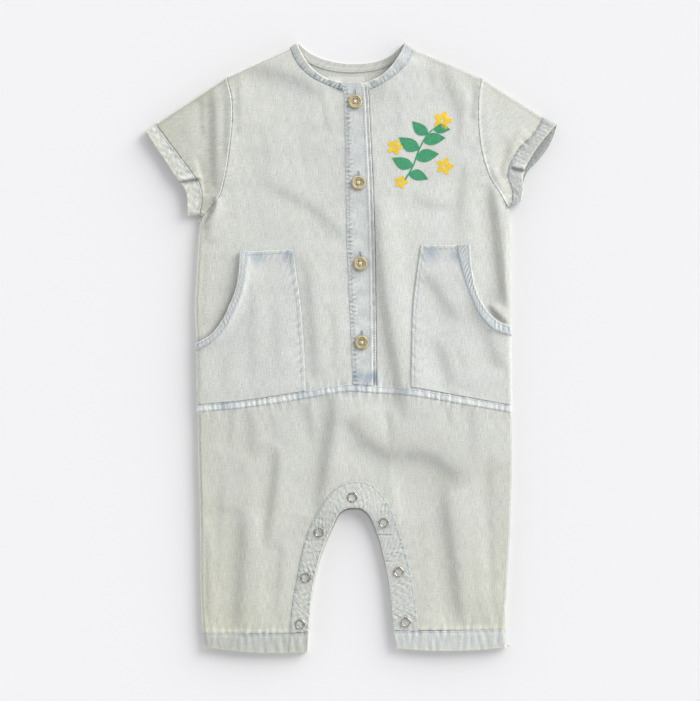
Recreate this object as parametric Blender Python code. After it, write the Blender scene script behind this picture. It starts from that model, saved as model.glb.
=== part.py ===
"""Baby's short-sleeved denim overalls, buttoned and laid flat with the front up.

Metres, +Z up. The back lies on z = 0, +Y runs from the hems to the neck, and the origin is under the
middle of the garment's box. Plan directions are named as on a map: north is towards the neck, west is
-X, the wearer's right. Each cut and sewn piece is its own closed wall of cloth.

Every wall is a grid of plan points set on one of two faces. The front face is a flat top that turns
down to the side seam along the folded edges and carries the folds. The back face is the floor, and
turns up to the same seam.
"""

from collections import namedtuple
from math import pi

import bmesh
import bpy
import numpy as np
from mathutils import Vector
from mathutils.bvhtree import BVHTree

MM = 0.001

# Driving dimensions.
PANEL = 2.0 * MM  # wall of a denim panel with its nap
TRIM = 1.2 * MM  # wall of a strip or pocket sewn on a panel
EDGE = 2.6 * MM  # wall of a turned edge: hem, cuff or binding
EDGE_SWELL = 0.5 * MM  # how far a turned edge stands above its panel
LABEL = 0.6 * MM
GAP = 0.3 * MM  # between two pieces at a seam
FRONT_TOP = 7.0 * MM  # outer face of the front above the floor
SIDE_SEAM = 3.5 * MM  # height at which front and back meet on a folded edge
ROLL = 8.0 * MM  # width over which a folded edge turns from level to upright
FOLD_LIMITS = (-2.3 * MM, 0.9 * MM)  # the front touches the back below, and stays near it above
NECK_DROP = 1.6 * MM  # the neck edge lies lower than the chest
ARCH_DROP = 1.1 * MM  # and so does the snapped inside leg edge
DROP_REACH = 22.0 * MM
BACK_SHOWS = 2.3 * MM  # the back's inside leg edge shows below the front's
PLACKET_SEAM = 5.0 * MM  # the west panel's edge under the placket, from the placket's west edge
PLACKET_CORNER = 0.965  # share of the placket's length below its rounded top corners
UNDER_PLACKET = 3.3 * MM  # how far the lower placket shows past the upper one
UNDER_PLACKET_TOP = 248.6 * MM
NECK_SEAM_FOOT = 236.0 * MM  # just below the lowest point of the neck seam
WAIST_STRIP = 6.8 * MM
BACK_FACING = 14.0 * MM  # width of the inside facing on the back's leg edge

BUTTON_RADIUS = 6.5 * MM
BUTTON_HEIGHT = 2.2 * MM
BUTTON_HOLE = 0.8 * MM  # radius
BUTTON_HOLE_PITCH = 2.3 * MM
SNAP_RADIUS = 4.75 * MM
SNAP_TUBE = 1.0 * MM  # radius of the ring's own section
SNAP_HEIGHT = 1.2 * MM

# Tables of sizes, in millimetres. A pair row holds the west point and the east point.
Side = namedtuple("Side", "y west east")
Pair = namedtuple("Pair", "west_x west_y east_x east_y")
Point = namedtuple("Point", "x y")
Crease = namedtuple("Crease", "x0 y0 x1 y1 x2 y2 width height")

BODY_SIDES = (
    Side(123.6, -139.6, 149.2),
    Side(117.0, -142.0, 149.7),
    Side(104.0, -143.3, 150.0),
    Side(70.0, -145.3, 150.0),
    Side(35.0, -147.0, 150.0),
    Side(0.0, -145.3, 150.2),
    Side(-47.0, -144.7, 150.6),
    Side(-100.0, -144.1, 151.5),
    Side(-134.0, -143.1, 151.0),
    Side(-170.0, -142.3, 149.8),
    Side(-219.0, -141.8, 147.2),
    Side(-262.0, -140.2, 145.3),
    Side(-283.0, -138.0, 147.4),
)
NECK_TIPS = Pair(-51.2, 286.7, 50.5, 286.7)
SHOULDERS = Pair(-58.3, 281.5, 58.4, 280.2)
ARMHOLES = (
    Pair(-117.3, 254.4, 122.6, 253.0),
    Pair(-112.3, 232.6, 120.0, 236.1),
    Pair(-111.9, 216.2, 119.4, 221.5),
    Pair(-114.3, 189.0, 120.7, 199.1),
    Pair(-119.1, 158.9, 124.0, 179.3),
    Pair(-125.2, 140.1, 130.6, 159.6),
    Pair(-133.1, 130.6, 139.0, 146.0),
    Pair(-139.4, 123.6, 146.9, 131.6),
)
CUFF_SEAMS = (
    Pair(-184.3, 210.1, 180.5, 216.1),
    Pair(-163.0, 181.5, 171.5, 200.4),
    Pair(-150.0, 164.0, 157.2, 186.1),
    Pair(-142.6, 153.0, 148.8, 171.0),
    Pair(-140.6, 146.0, 146.9, 162.0),
    Pair(-140.6, 136.0, 151.2, 146.0),
    Pair(-142.9, 123.8, 150.7, 132.4),
)
CUFF_EDGES = (
    Pair(-194.4, 203.6, 194.1, 210.0),
    Pair(-177.0, 177.5, 183.2, 197.8),
    Pair(-167.0, 162.5, 172.3, 183.5),
    Pair(-160.0, 153.0, 164.0, 168.6),
    Pair(-155.8, 146.5, 161.9, 163.0),
    Pair(-154.4, 136.0, 162.3, 147.4),
    Pair(-154.4, 124.0, 159.9, 136.0),
)
EAST_CUFF_BACK_EDGE = (
    Point(194.1, 210.0),
    Point(188.2, 193.6),
    Point(175.6, 175.2),
    Point(166.5, 165.8),
    Point(162.9, 158.5),
    Point(162.4, 147.4),
    Point(159.9, 136.0),
)
NECK_SEAMS = (
    Pair(*SHOULDERS),
    Pair(-51.8, 267.8, 54.3, 268.4),
    Pair(-44.7, 259.3, 47.4, 260.7),
    Pair(-35.1, 252.1, 35.9, 251.1),
    Pair(-26.5, 247.8, 27.0, 245.9),
    Pair(-14.9, 243.4, 20.8, 243.0),
    Pair(-2.2, 240.2, 15.9, 241.4),
)
NECK_EDGES = (
    Pair(*NECK_TIPS),
    Pair(-47.4, 278.0, 47.4, 278.9),
    Pair(-40.8, 267.5, 41.6, 269.4),
    Pair(-33.0, 259.4, 35.0, 261.2),
    Pair(-22.7, 253.1, 25.5, 254.0),
    Pair(-8.6, 249.4, 15.2, 249.6),
)
BACK_NECK_SEAM = (
    Point(SHOULDERS.west_x, SHOULDERS.west_y),
    Point(-41.0, 268.6),
    Point(-28.4, 263.2),
    Point(-9.2, 259.3),
    Point(10.0, 259.3),
    Point(25.4, 261.6),
    Point(38.0, 266.9),
    Point(SHOULDERS.east_x, SHOULDERS.east_y),
)
BACK_NECK_EDGE = (
    Point(NECK_TIPS.west_x, NECK_TIPS.west_y),
    Point(-38.0, 276.1),
    Point(-28.4, 271.8),
    Point(-14.9, 268.0),
    Point(5.2, 266.5),
    Point(24.3, 268.9),
    Point(36.8, 274.2),
    Point(NECK_TIPS.east_x, NECK_TIPS.east_y),
)
NECK_LABEL = (-22.7, 12.7, 239.5, 254.4)  # west, east, south, north
PLACKET_SIDES = (
    Side(249.2, -8.4, 9.6),
    Side(246.5, -8.0, 11.9),
    Side(240.0, -7.2, 12.8),
    Side(214.0, -5.9, 14.2),
    Side(179.0, -5.2, 15.9),
    Side(96.0, -4.1, 19.0),
    Side(40.0, -1.6, 19.8),
    Side(-16.0, 0.8, 20.4),
    Side(-46.0, 2.0, 20.7),
)
WAIST = (
    Point(-150.0, -58.2),
    Point(-97.9, -53.4),
    Point(-43.5, -45.2),
    Point(-0.5, -38.5),
    Point(20.0, -39.7),
    Point(56.2, -42.3),
    Point(96.4, -48.9),
    Point(156.0, -59.3),
)
WAIST_ENDS = {"west": -144.7 * MM, "east": 150.6 * MM}
PLACKET_FOOT = 11.0 * MM  # x of the placket's middle at the waist
HEM_SEAMS = {
    "west": (Point(-142.0, -268.4), Point(-90.0, -269.2), Point(-36.0, -269.0)),
    "east": (Point(36.0, -267.0), Point(90.0, -266.6), Point(149.0, -265.2)),
}
HEM_EDGES = {
    "west": (Point(-141.0, -281.8), Point(-86.8, -286.9), Point(-36.0, -286.2)),
    "east": (Point(38.0, -282.6), Point(69.0, -284.7), Point(133.8, -283.1), Point(150.0, -281.3)),
}
HEM_ENDS = {"west": -140.0 * MM, "east": 145.5 * MM}
INSIDE_LEGS = (
    Point(-40.9, -286.6),
    Point(-39.9, -268.5),
    Point(-36.6, -231.0),
    Point(-31.4, -204.9),
    Point(-25.6, -187.0),
    Point(-17.6, -168.5),
    Point(-9.6, -154.6),
    Point(-4.0, -151.8),
    Point(2.6, -151.0),
    Point(9.0, -151.6),
    Point(14.0, -155.0),
    Point(24.3, -174.8),
    Point(31.2, -200.6),
    Point(36.2, -228.0),
    Point(39.9, -265.3),
    Point(43.1, -284.0),
)
CURVE_SPANS = 10
ARCH_TOP = 8 * CURVE_SPANS  # the point of the smooth leg edge at the top of the arch, row 8 above
FACING_SEAM = (
    Point(-57.6, -269.1),
    Point(-55.6, -246.0),
    Point(-50.9, -218.0),
    Point(-41.9, -177.9),
    Point(-34.1, -159.2),
    Point(-22.5, -141.3),
    Point(-13.9, -132.3),
    Point(-4.5, -127.7),
    Point(7.1, -126.1),
    Point(17.3, -128.5),
    Point(26.7, -136.3),
    Point(34.4, -146.8),
    Point(47.7, -181.8),
    Point(57.4, -219.9),
    Point(61.5, -249.0),
    Point(63.6, -266.9),
)
POCKET_INNER = {
    "west": (Point(-54.5, 91.8), Point(-52.1, 72.2), Point(-47.7, 40.7), Point(-45.1, 9.4),
             Point(-43.2, -22.1), Point(-42.6, -46.0)),
    "east": (Point(65.6, 95.6), Point(61.9, 72.2), Point(58.1, 40.7), Point(56.8, 9.4),
             Point(56.2, -22.1), Point(56.2, -46.0)),
}
# Pocket bindings: each row holds the inner seam point and the free edge point.
Binding = namedtuple("Binding", "seam_x seam_y edge_x edge_y")
POCKET_BINDINGS = {
    "west": (
        Binding(-97.4, 89.6, -104.6, 89.2),
        Binding(-99.3, 67.3, -105.6, 68.5),
        Binding(-103.0, 49.6, -108.1, 55.9),
        Binding(-110.5, 32.0, -114.3, 39.5),
        Binding(-119.4, 15.7, -121.9, 24.4),
        Binding(-130.8, 4.3, -132.0, 11.8),
        Binding(-145.4, -3.4, -145.4, 3.6),
    ),
    "east": (
        Binding(99.0, 95.6, 111.6, 96.0),
        Binding(102.7, 77.3, 113.5, 72.2),
        Binding(107.8, 59.6, 116.7, 55.9),
        Binding(114.1, 43.3, 123.0, 40.7),
        Binding(123.0, 26.9, 130.5, 30.7),
        Binding(134.2, 16.2, 138.0, 24.4),
        Binding(150.1, 10.6, 150.0, 20.0),
    ),
}
BUTTONS = (Point(3.6, 230.7), Point(6.9, 154.3), Point(8.6, 78.5), Point(9.9, 4.3))
SNAPS = (
    Point(1.2, -141.1),
    Point(-30.1, -174.1),
    Point(-42.6, -216.7),
    Point(-48.1, -260.5),
    Point(30.9, -165.0),
    Point(44.6, -211.3),
    Point(51.4, -258.6),
)

# The largest folds: a start, a middle and an end, then half width and height. A trough is negative.
CREASES = (
    Crease(24, 125, 31, 44, 46, -36, 9, -2.0),  # beside the placket
    Crease(40, 112, 47, 40, 61, -30, 12, 0.9),
    Crease(-82, 150, -43, 134, -9, 108, 9, -1.6),  # across the chest to the placket
    Crease(-84, 132, -46, 117, -14, 90, 12, 0.8),
    Crease(-39, 85, -34, 35, -31, -29, 7, -1.3),  # beside the west pocket
    Crease(-16, -58, -24, -101, -29, -165, 9, -2.2),  # waist to the arch
    Crease(-6, -60, -9, -95, -14, -125, 10, 0.9),
    Crease(10, -66, 36, -101, 98, -121, 11, -2.2),  # across the seat
    Crease(2, -80, 12, -114, 40, -124, 9, 0.8),
    Crease(90, -122, 92, -181, 97, -254, 9, -1.8),  # down the east leg
    Crease(105, -125, 107, -186, 112, -247, 9, 0.9),
    Crease(128, -84, 131, -163, 134, -250, 9, -0.9),
    Crease(-70, -100, -72, -132, -76, -168, 7, -1.7),  # short, on the west leg
    Crease(-60, -96, -62, -130, -65, -162, 8, 0.8),
    Crease(-93, -58, -97, -134, -103, -250, 9, -1.5),  # down the west leg
    Crease(132, 146, 134, 91, 136, 34, 8, -2.1),  # below the east armhole
    Crease(121, 140, 124, 95, 127, 48, 9, 0.7),
    Crease(64, 62, 83, 44, 98, 18, 10, -0.8),  # across the east pocket
    Crease(80, -2, 87, -18, 92, -32, 9, -0.7),
    Crease(-95, 70, -94, 16, -93, -40, 10, -0.6),  # down the west pocket
    Crease(-125, 246, -129, 218, -129, 184, 7, -1.6),  # beside the west armhole
    Crease(109, 240, 109, 213, 111, 184, 7, -0.9),  # beside the east armhole
    Crease(-25, 238, -22, 222, -20, 200, 8, -0.6),
    Crease(-93, 259, -76, 254, -60, 247, 8, -0.8),
)

DENIM = ("#CFD1CB", 0.9, 0.0)
DENIM_WRONG_SIDE = ("#C6C7BF", 0.9, 0.0)
BINDING_CLOTH = ("#C3C6C6", 0.9, 0.0)
LABEL_TAPE = ("#DADBDA", 0.8, 0.0)
BUTTON_HORN = ("#B5AC8C", 0.45, 0.0)
SNAP_METAL = ("#A79F93", 0.35, 1.0)

FRONT, BACK = 1, -1
ROLL_TURNS = np.radians([0, 30, 60, 90])
WAIST_STEPS = 11  # grid steps along one side's waist seam
ABOVE, DOWN = 40.0 * MM, Vector((0, 0, -1))  # for rays that fall on the garment


def curve(rows, spans=CURVE_SPANS):
    """Smooth plan line through rows of millimetre points: cubic, with slopes from the neighbours."""
    points = np.array([tuple(row) for row in rows], float) * MM
    lengths = np.linalg.norm(np.diff(points, axis=0), axis=1)
    slopes = np.gradient(points, np.concatenate([[0], np.cumsum(lengths)]), axis=0)
    start, end = points[:-1, None], points[1:, None]
    leave, arrive = slopes[:-1, None] * lengths[:, None, None], slopes[1:, None] * lengths[:, None, None]
    t = np.linspace(0, 1, spans, endpoint=False)[None, :, None]
    held = start * (1 + 2 * t) * (1 - t) ** 2 + end * t**2 * (3 - 2 * t)
    bent = leave * t * (1 - t) ** 2 + arrive * t**2 * (t - 1)
    return np.vstack([(held + bent).reshape(-1, 2), points[-1:]])


def corner(row, side):
    """The west or the east point of a pair, in metres."""
    return np.array(row[:2] if side == "west" else row[2:]) * MM


def column(rows, side):
    """Smooth line through the west or the east points of a table of pairs."""
    return curve([row[:2] if side == "west" else row[2:] for row in rows])


def line(*points):
    """Straight plan line through millimetre points."""
    return np.array([tuple(point) for point in points], float) * MM


def chain(*paths):
    """One path that runs through the given paths in order."""
    return np.vstack(paths)


def shares(path):
    """Share of the path's length reached at each of its points."""
    steps = np.linalg.norm(np.diff(path, axis=0), axis=1)
    return np.concatenate([[0], np.cumsum(steps)]) / steps.sum()


def at_fractions(path, fractions):
    """Points at these fractions of the path's length."""
    return np.stack([np.interp(fractions, shares(path), path[:, axis]) for axis in (0, 1)], axis=1)


def beside(path, distance):
    """The path moved to its left by a distance, which may differ from point to point."""
    direction = np.gradient(path, axis=0)
    direction /= np.linalg.norm(direction, axis=1)[:, None]
    left = np.stack([-direction[:, 1], direction[:, 0]], axis=1)
    return path + left * np.broadcast_to(distance, len(path))[:, None]


def side_edge(side, low, high):
    """The body's folded edge on one side, from one height to another."""
    edge = curve([(row.y, getattr(row, side)) for row in BODY_SIDES])[::-1]
    heights = np.linspace(low, high, 40)
    return np.stack([np.interp(heights, edge[:, 0], edge[:, 1]), heights], axis=1)


def side_x(side, height):
    """Where the body's folded edge on one side stands at a height."""
    return side_edge(side, height, 0.0)[0, 0]


def height_on(rows, x):
    """Height y of a line that runs west to east, at x."""
    path = curve(rows)
    return np.interp(x, path[:, 0], path[:, 1])


def stretch_of(rows, west, east, shift=0.0):
    """The part of a west to east line between two x, moved north by shift."""
    x = np.linspace(west, east, 40)
    return np.stack([x, height_on(rows, x) + shift], axis=1)


def placket_line(side, shift, low, high):
    """A line that follows the placket's west or east edge, moved east by shift."""
    edge = curve([(row.y, getattr(row, side)) for row in PLACKET_SIDES])[::-1]
    heights = np.linspace(low, high, 40)
    return np.stack([np.interp(heights, edge[:, 0], edge[:, 1]) + shift, heights], axis=1)


def stations(path, steps, start=False, end=False):
    """Points along a path in even steps, with close ones where it starts or ends on a folded edge."""
    turn = (1 - np.cos(ROLL_TURNS)) * ROLL / np.linalg.norm(np.diff(path, axis=0), axis=1).sum()
    first = turn if start else turn[:1]
    last = 1 - turn[::-1] if end else np.ones(1)
    fractions = np.concatenate([first[:-1], np.linspace(first[-1], last[0], steps + 1), last[1:]])
    return at_fractions(path, fractions)


def patch(low, high, left, right):
    """Grid of plan points that fills four rows of edge points, blended straight between opposite ones."""
    u = (shares(low) + shares(high))[None, :, None] / 2
    v = (shares(left) + shares(right))[:, None, None] / 2
    rows = (1 - v) * low[None] + v * high[None]
    columns = (1 - u) * left[:, None] + u * right[:, None]
    corners = (1 - v) * ((1 - u) * low[0] + u * low[-1]) + v * ((1 - u) * high[0] + u * high[-1])
    return rows + columns - corners


def ruled(first, last, rows):
    """Grid of plan points ruled straight from one row of points to another."""
    share = np.linspace(0, 1, rows + 1)[:, None, None]
    return (1 - share) * first[None] + share * last[None]


def between(first, last, rows, across):
    """Grid ruled from one path to another, at the same fractions of their lengths."""
    return ruled(at_fractions(first, across), at_fractions(last, across), rows)


def nearest(points, path):
    """For each plan point: distance to the path, share of the path there, and the unit way to it."""
    start, step = path[:-1], np.diff(path, axis=0)
    length = np.linalg.norm(step, axis=1)
    offset = points[:, None] - start[None]
    share = np.clip((offset * step).sum(2) / length**2, 0, 1)
    away = share[:, :, None] * step - offset
    distance = np.linalg.norm(away, axis=2)
    closest = distance.argmin(1)
    rows = np.arange(len(points))
    found = distance[rows, closest]
    reached = np.concatenate([[0], np.cumsum(length)])
    fraction = (reached[closest] + share[rows, closest] * length[closest]) / reached[-1]
    outside = np.stack([step[closest, 1], -step[closest, 0]], axis=1) / length[closest, None]
    on_path = found < 0.01 * MM
    way = np.where(on_path[:, None], outside, away[rows, closest] / np.maximum(found, 1e-9)[:, None])
    return np.where(on_path, 0.0, found), fraction, way


def folded_edges():
    """The paths along which front and back are one cloth, run anticlockwise round the garment."""
    tops, bottoms = {}, {}
    for side in ("west", "east"):
        over = (NECK_TIPS, SHOULDERS, ARMHOLES[0], CUFF_SEAMS[0], CUFF_EDGES[0])
        under = [corner(rows[-1], side) for rows in (CUFF_EDGES, CUFF_SEAMS, ARMHOLES)]
        past_hem = (BODY_SIDES[-1].y - 4) * MM
        tops[side] = np.array([corner(row, side) for row in over])
        bottoms[side] = chain(under, side_edge(side, under[-1][1] - MM, past_hem))
    return tops["west"], bottoms["west"], tops["east"][::-1], bottoms["east"][::-1]


FOLDED = folded_edges()
NECK_LINE = chain(column(NECK_EDGES, "west"), column(NECK_EDGES, "east")[::-1])
ARCH = curve(INSIDE_LEGS)


def to_fold(points):
    """Distance of each plan point to the nearest folded edge, and the unit way out over it."""
    found = [nearest(points, path) for path in FOLDED]
    distance = np.stack([each[0] for each in found])
    way = np.stack([each[2] for each in found])
    which, rows = distance.argmin(0), np.arange(len(points))
    return distance[which, rows], way[which, rows]


def relief(points):
    """Height that folds and open edges add to the front's flat top."""
    total = np.zeros(len(points))
    for crease in CREASES:
        ends = line(crease[0:2], crease[2:4], crease[4:6])
        t = np.linspace(0, 1, 12)[:, None]
        handle = 2 * ends[1] - (ends[0] + ends[2]) / 2
        path = ends[0] * (1 - t) ** 2 + 2 * handle * t * (1 - t) + ends[2] * t**2
        distance, share, _ = nearest(points, path)
        taper = 1 - (2 * share - 1) ** 4
        total += crease.height * MM * taper * np.exp(-((distance / (crease.width * MM)) ** 2))
    total = np.clip(total, *FOLD_LIMITS)
    near_arch = np.exp(-((nearest(points, ARCH)[0] / DROP_REACH) ** 2))
    near_neck = np.exp(-((nearest(points, NECK_LINE)[0] / DROP_REACH) ** 2))
    inland = np.clip(to_fold(points)[0] / (2 * ROLL), 0, 1)
    total = total * (1 - near_arch) - ARCH_DROP * near_arch - NECK_DROP * near_neck
    return total * inland**2 * (3 - 2 * inland)


def on_face(grid, face, lift, swell=0.0, split=GAP / 2, folded=None):
    """Puts plan points on the front's or the back's outer face, then moves them out along it.

    lift is the way out, swell is more of it that fades at a folded edge, split is the half gap of the
    side seam, and folded marks the points that lie exactly on a fold.
    """
    points = grid.reshape(-1, 2)
    distance, out = to_fold(points)
    if folded is not None:
        distance = np.where(folded.reshape(-1), 0.0, distance)
    cosine = np.clip(1 - distance / ROLL, 0, 1)
    sine = np.sqrt(1 - cosine**2)
    rise = FRONT_TOP - SIDE_SEAM if face == FRONT else SIDE_SEAM
    height = SIDE_SEAM + face * (split + (rise - split) * sine)
    slope = np.zeros((len(points), 2))
    if face == FRONT:
        height += relief(points) * sine
        reach = 0.25 * MM
        for axis, step in enumerate(np.eye(2) * reach):
            slope[:, axis] = (relief(points + step) - relief(points - step)) / (2 * reach)
    normal = np.empty((len(points), 3))
    normal[:, :2] = out * cosine[:, None] - slope * sine[:, None]
    normal[:, 2] = face * sine
    normal /= np.linalg.norm(normal, axis=1)[:, None]
    flat = np.column_stack([points, height])
    moved = flat + normal * (lift + swell * sine)[:, None]
    return moved.reshape(*grid.shape[:2], 3)


def triangles_of(outer, face, first):
    """Triangles of one grid, each square cut along its shorter diagonal, facing out."""
    rows, columns = outer.shape[:2]
    index = first + np.arange(rows * columns).reshape(rows, columns)
    a, b, c, d = index[:-1, :-1], index[:-1, 1:], index[1:, 1:], index[1:, :-1]
    rising = np.linalg.norm(outer[:-1, :-1] - outer[1:, 1:], axis=2)
    falling = np.linalg.norm(outer[:-1, 1:] - outer[1:, :-1], axis=2)
    one = np.where((rising <= falling)[..., None], np.stack([a, b, c], -1), np.stack([a, b, d], -1))
    two = np.where((rising <= falling)[..., None], np.stack([a, c, d], -1), np.stack([b, c, d], -1))
    found = np.concatenate([one.reshape(-1, 3), two.reshape(-1, 3)])
    return found if face == FRONT else found[:, ::-1]


class Wall:
    """A closed wall of cloth: its outer points, its inner points and the outer triangles."""

    def __init__(self, grids, outer, inner, swell=0.0, ring=False):
        """grids holds (plan grid, face) pairs. A ring is one cloth round its folded ends."""
        self.outer, self.inner, self.triangles = np.empty((0, 3)), np.empty((0, 3)), np.empty((0, 3), int)
        for grid, face in grids:
            folded = np.zeros(grid.shape[:2], bool)
            folded[:, [0, -1]] = ring
            split = 0.0 if ring else GAP / 2
            skin = on_face(grid, face, outer, swell if face == FRONT else 0.0, split, folded)
            lining = on_face(grid, face, inner, swell if face == FRONT else 0.0, split, folded)
            self.triangles = np.vstack([self.triangles, triangles_of(skin, face, len(self.outer))])
            self.outer = np.vstack([self.outer, skin.reshape(-1, 3)])
            self.inner = np.vstack([self.inner, lining.reshape(-1, 3)])
        self.merge()

    def merge(self):
        """Joins points that two grids share."""
        rounded = np.round(self.outer / MM, 5)
        _, kept, index = np.unique(rounded, axis=0, return_index=True, return_inverse=True)
        self.outer, self.inner = self.outer[kept], self.inner[kept]
        self.triangles = index.reshape(-1)[self.triangles]
        a, b, c = self.triangles.T
        self.triangles = self.triangles[(a != b) & (b != c) & (c != a)]

    def raise_clear(self, carriers):
        """Lifts the wall where its flat facets would come nearer than a gap to what carries it."""
        steps = np.linspace(0, 1, 5)
        shares = np.array([(p, q, 1 - p - q) for p in steps for q in steps if p + q <= 1])
        for _ in range(3):
            lift = np.zeros(len(self.inner))
            samples = np.einsum("ks,tsx->tkx", shares, self.inner[self.triangles])
            for corners, points in zip(self.triangles, samples):
                hits = [carriers.ray_cast(Vector((x, y, ABOVE)), DOWN)[0] for x, y, _ in points]
                short = max(hit.z + GAP - point[2] if hit else 0.0 for hit, point in zip(hits, points))
                lift[corners] = np.maximum(lift[corners], short)
            self.inner[:, 2] += lift
            self.outer[:, 2] += lift

    def faces(self):
        """Triangles of the whole closed wall, over its outer points and then its inner points."""
        count = len(self.outer)
        edges = np.concatenate([self.triangles[:, pair] for pair in ([0, 1], [1, 2], [2, 0])])
        ahead = edges[:, 0] * count + edges[:, 1]
        a, b = edges[~np.isin(edges[:, 1] * count + edges[:, 0], ahead)].T
        rim = np.concatenate([np.column_stack([b, a, a + count]), np.column_stack([b, a + count, b + count])])
        return np.concatenate([self.triangles, self.triangles[:, ::-1] + count, rim])

    def skin(self):
        """The outer face as a search tree, for what is sewn on it."""
        return BVHTree.FromPolygons(self.outer.tolist(), self.triangles.tolist())


def linear(colour):
    """Linear RGBA of an sRGB hex colour."""
    channels = [int(colour[at : at + 2], 16) / 255 for at in (1, 3, 5)]
    return [c / 12.92 if c <= 0.04045 else ((c + 0.055) / 1.055) ** 2.4 for c in channels] + [1.0]


def finish(name, look):
    """A Principled material of the given colour, roughness and metallic value."""
    colour, roughness, metallic = look
    material = bpy.data.materials.new(name)
    material.use_nodes = True
    shader = material.node_tree.nodes["Principled BSDF"]
    shader.inputs["Base Color"].default_value = linear(colour)
    shader.inputs["Roughness"].default_value = roughness
    shader.inputs["Metallic"].default_value = metallic
    return material


def place(name, mesh, look, at=(0.0, 0.0, 0.0)):
    """Adds a named object with its own material under the garment's empty."""
    obj = bpy.data.objects.new(name, mesh)
    obj.parent = bpy.data.objects["overalls"]
    obj.location = at
    obj.data.materials.append(finish(name, look))
    bpy.context.scene.collection.objects.link(obj)
    return obj


def sew(name, wall, look):
    """Adds a wall of cloth as a named object."""
    mesh = bpy.data.meshes.new(name)
    mesh.from_pydata(np.vstack([wall.outer, wall.inner]).tolist(), [], wall.faces().tolist())
    mesh.shade_smooth()
    mesh.set_sharp_from_angle(angle=pi / 4)
    return place(name, mesh, look)


def armhole(side, shift, underarm_roll=False):
    """Points down an armhole seam, moved towards the body by shift. A sleeve also rolls under the arm."""
    points = stations(beside(column(ARMHOLES, side), shift if side == "west" else -shift), 6, True, True)
    return points if underarm_roll else np.delete(points, [-3, -2], axis=0)


def neck_seam(side, shift, roll=True):
    """Points along a front neck seam from the shoulder, moved towards the chest by shift."""
    points = stations(beside(column(NECK_SEAMS, side), -shift if side == "west" else shift), 7, True)
    return points if roll else np.delete(points, [1, 2], axis=0)


def back_neck_seam(shift, roll=True):
    """Points along the back neck seam from west to east, moved towards the back by shift."""
    points = stations(beside(curve(BACK_NECK_SEAM), -shift), 8, True, True)
    return points if roll else np.delete(points, [1, 2, -3, -2], axis=0)


def shoulder(side, first):
    """Points up a shoulder from the armhole to the neck, close together at the armhole."""
    return stations(np.array([first, corner(SHOULDERS, side)]), 3, True)[:-1]


def bodice_back():
    """The back from waist to neck, one panel."""
    edges = {}
    for side in ("west", "east"):
        hole = armhole(side, GAP / 2)[::-1]
        low = height_on(WAIST, WAIST_ENDS[side]) + GAP
        body = at_fractions(side_edge(side, low, hole[0, 1]), np.linspace(0, 1, 8))
        edges[side] = chain(body[:-1], hole)
    south = stretch_of(WAIST, edges["west"][0, 0], edges["east"][0, 0], GAP)
    high = chain(shoulder("west", edges["west"][-1]), back_neck_seam(GAP, roll=False),
                 shoulder("east", edges["east"][-1])[::-1])
    low = stations(south, len(high) - 2 * len(ROLL_TURNS) + 1, True, True)
    return Wall([(patch(low, high, edges["west"], edges["east"]), BACK)], 0.0, -PANEL)


def bodice_front(side):
    """One front from waist to shoulder, from the side to the placket."""
    hole = armhole(side, GAP / 2)[::-1]
    low_y = height_on(WAIST, WAIST_ENDS[side]) + GAP / 2
    outer = chain(at_fractions(side_edge(side, low_y, hole[0, 1]), np.linspace(0, 1, 9))[:-1], hole)
    high = chain(shoulder(side, hole[-1]), neck_seam(side, GAP / 2, roll=False))
    inner_low = height_on(WAIST, PLACKET_FOOT) + GAP / 2
    inner = placket_line(side, placket_seam(side), inner_low, high[-1, 1])
    inner[0, 1] = height_on(WAIST, inner[0, 0]) + GAP / 2
    inner = at_fractions(inner, shares(outer))
    high[-1] = inner[-1]
    low = stations(stretch_of(WAIST, outer[0, 0], inner[0, 0], GAP / 2), WAIST_STEPS, True)
    grid = patch(low, high, outer, inner)
    return Wall([(grid if side == "west" else grid[:, ::-1], FRONT)], 0.0, -PANEL)


def inside_leg_x(side, height):
    """Where one inside leg edge of the front stands at a height."""
    leg = ARCH[:ARCH_TOP] if side == "west" else ARCH[:ARCH_TOP:-1]
    return np.interp(height, leg[:, 1], leg[:, 0])


def halves(arch, face, leg_rows, body_rows):
    """The lower panel as a west and an east grid that share the line above the arch."""
    centre_x = BUTTONS[-1].x * MM
    centre = np.array([arch[ARCH_TOP], (centre_x, height_on(WAIST, centre_x) - GAP / 2)])
    body = at_fractions(centre, np.linspace(0, 1, body_rows + 1))
    grids = []
    for side, seam in HEM_SEAMS.items():
        leg = arch[: ARCH_TOP + 1] if side == "west" else arch[: ARCH_TOP - 1 : -1]
        leg = leg[leg[:, 1] > height_on(seam, leg[0, 0]) + GAP / 2]
        inner = chain(at_fractions(leg, np.linspace(0, 1, leg_rows + 1))[:-1], body)
        foot = height_on(seam, HEM_ENDS[side]) + GAP / 2
        outer = side_edge(side, foot, height_on(WAIST, WAIST_ENDS[side]) - GAP / 2)
        outer = at_fractions(outer, shares(inner))
        seam_x = placket_line(side, placket_seam(side), height_on(WAIST, PLACKET_FOOT), 0.0)[0, 0]
        high = stations(stretch_of(WAIST, outer[-1, 0], seam_x, -GAP / 2), WAIST_STEPS, True)
        high = chain(high, body[-1:])
        low = at_fractions(np.vstack([outer[:1], inner[:1]]), shares(high))
        grid = patch(low, high, outer, inner)
        if face == BACK:
            grid = grid[:, np.r_[0:4, 5:len(high):2]]
        grids.append((grid if side == "west" else grid[:, ::-1], face))
    return grids


def placket_seam(side):
    """How far east of the placket's edge the front on one side ends."""
    return PLACKET_SEAM if side == "west" else UNDER_PLACKET + GAP


def back_arch():
    """The back's inside leg edge: the front's, moved into the gap between the legs."""
    share = np.linspace(0, 1, len(ARCH))
    return beside(ARCH, -BACK_SHOWS * np.sin(pi * share) ** 2)


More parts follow.
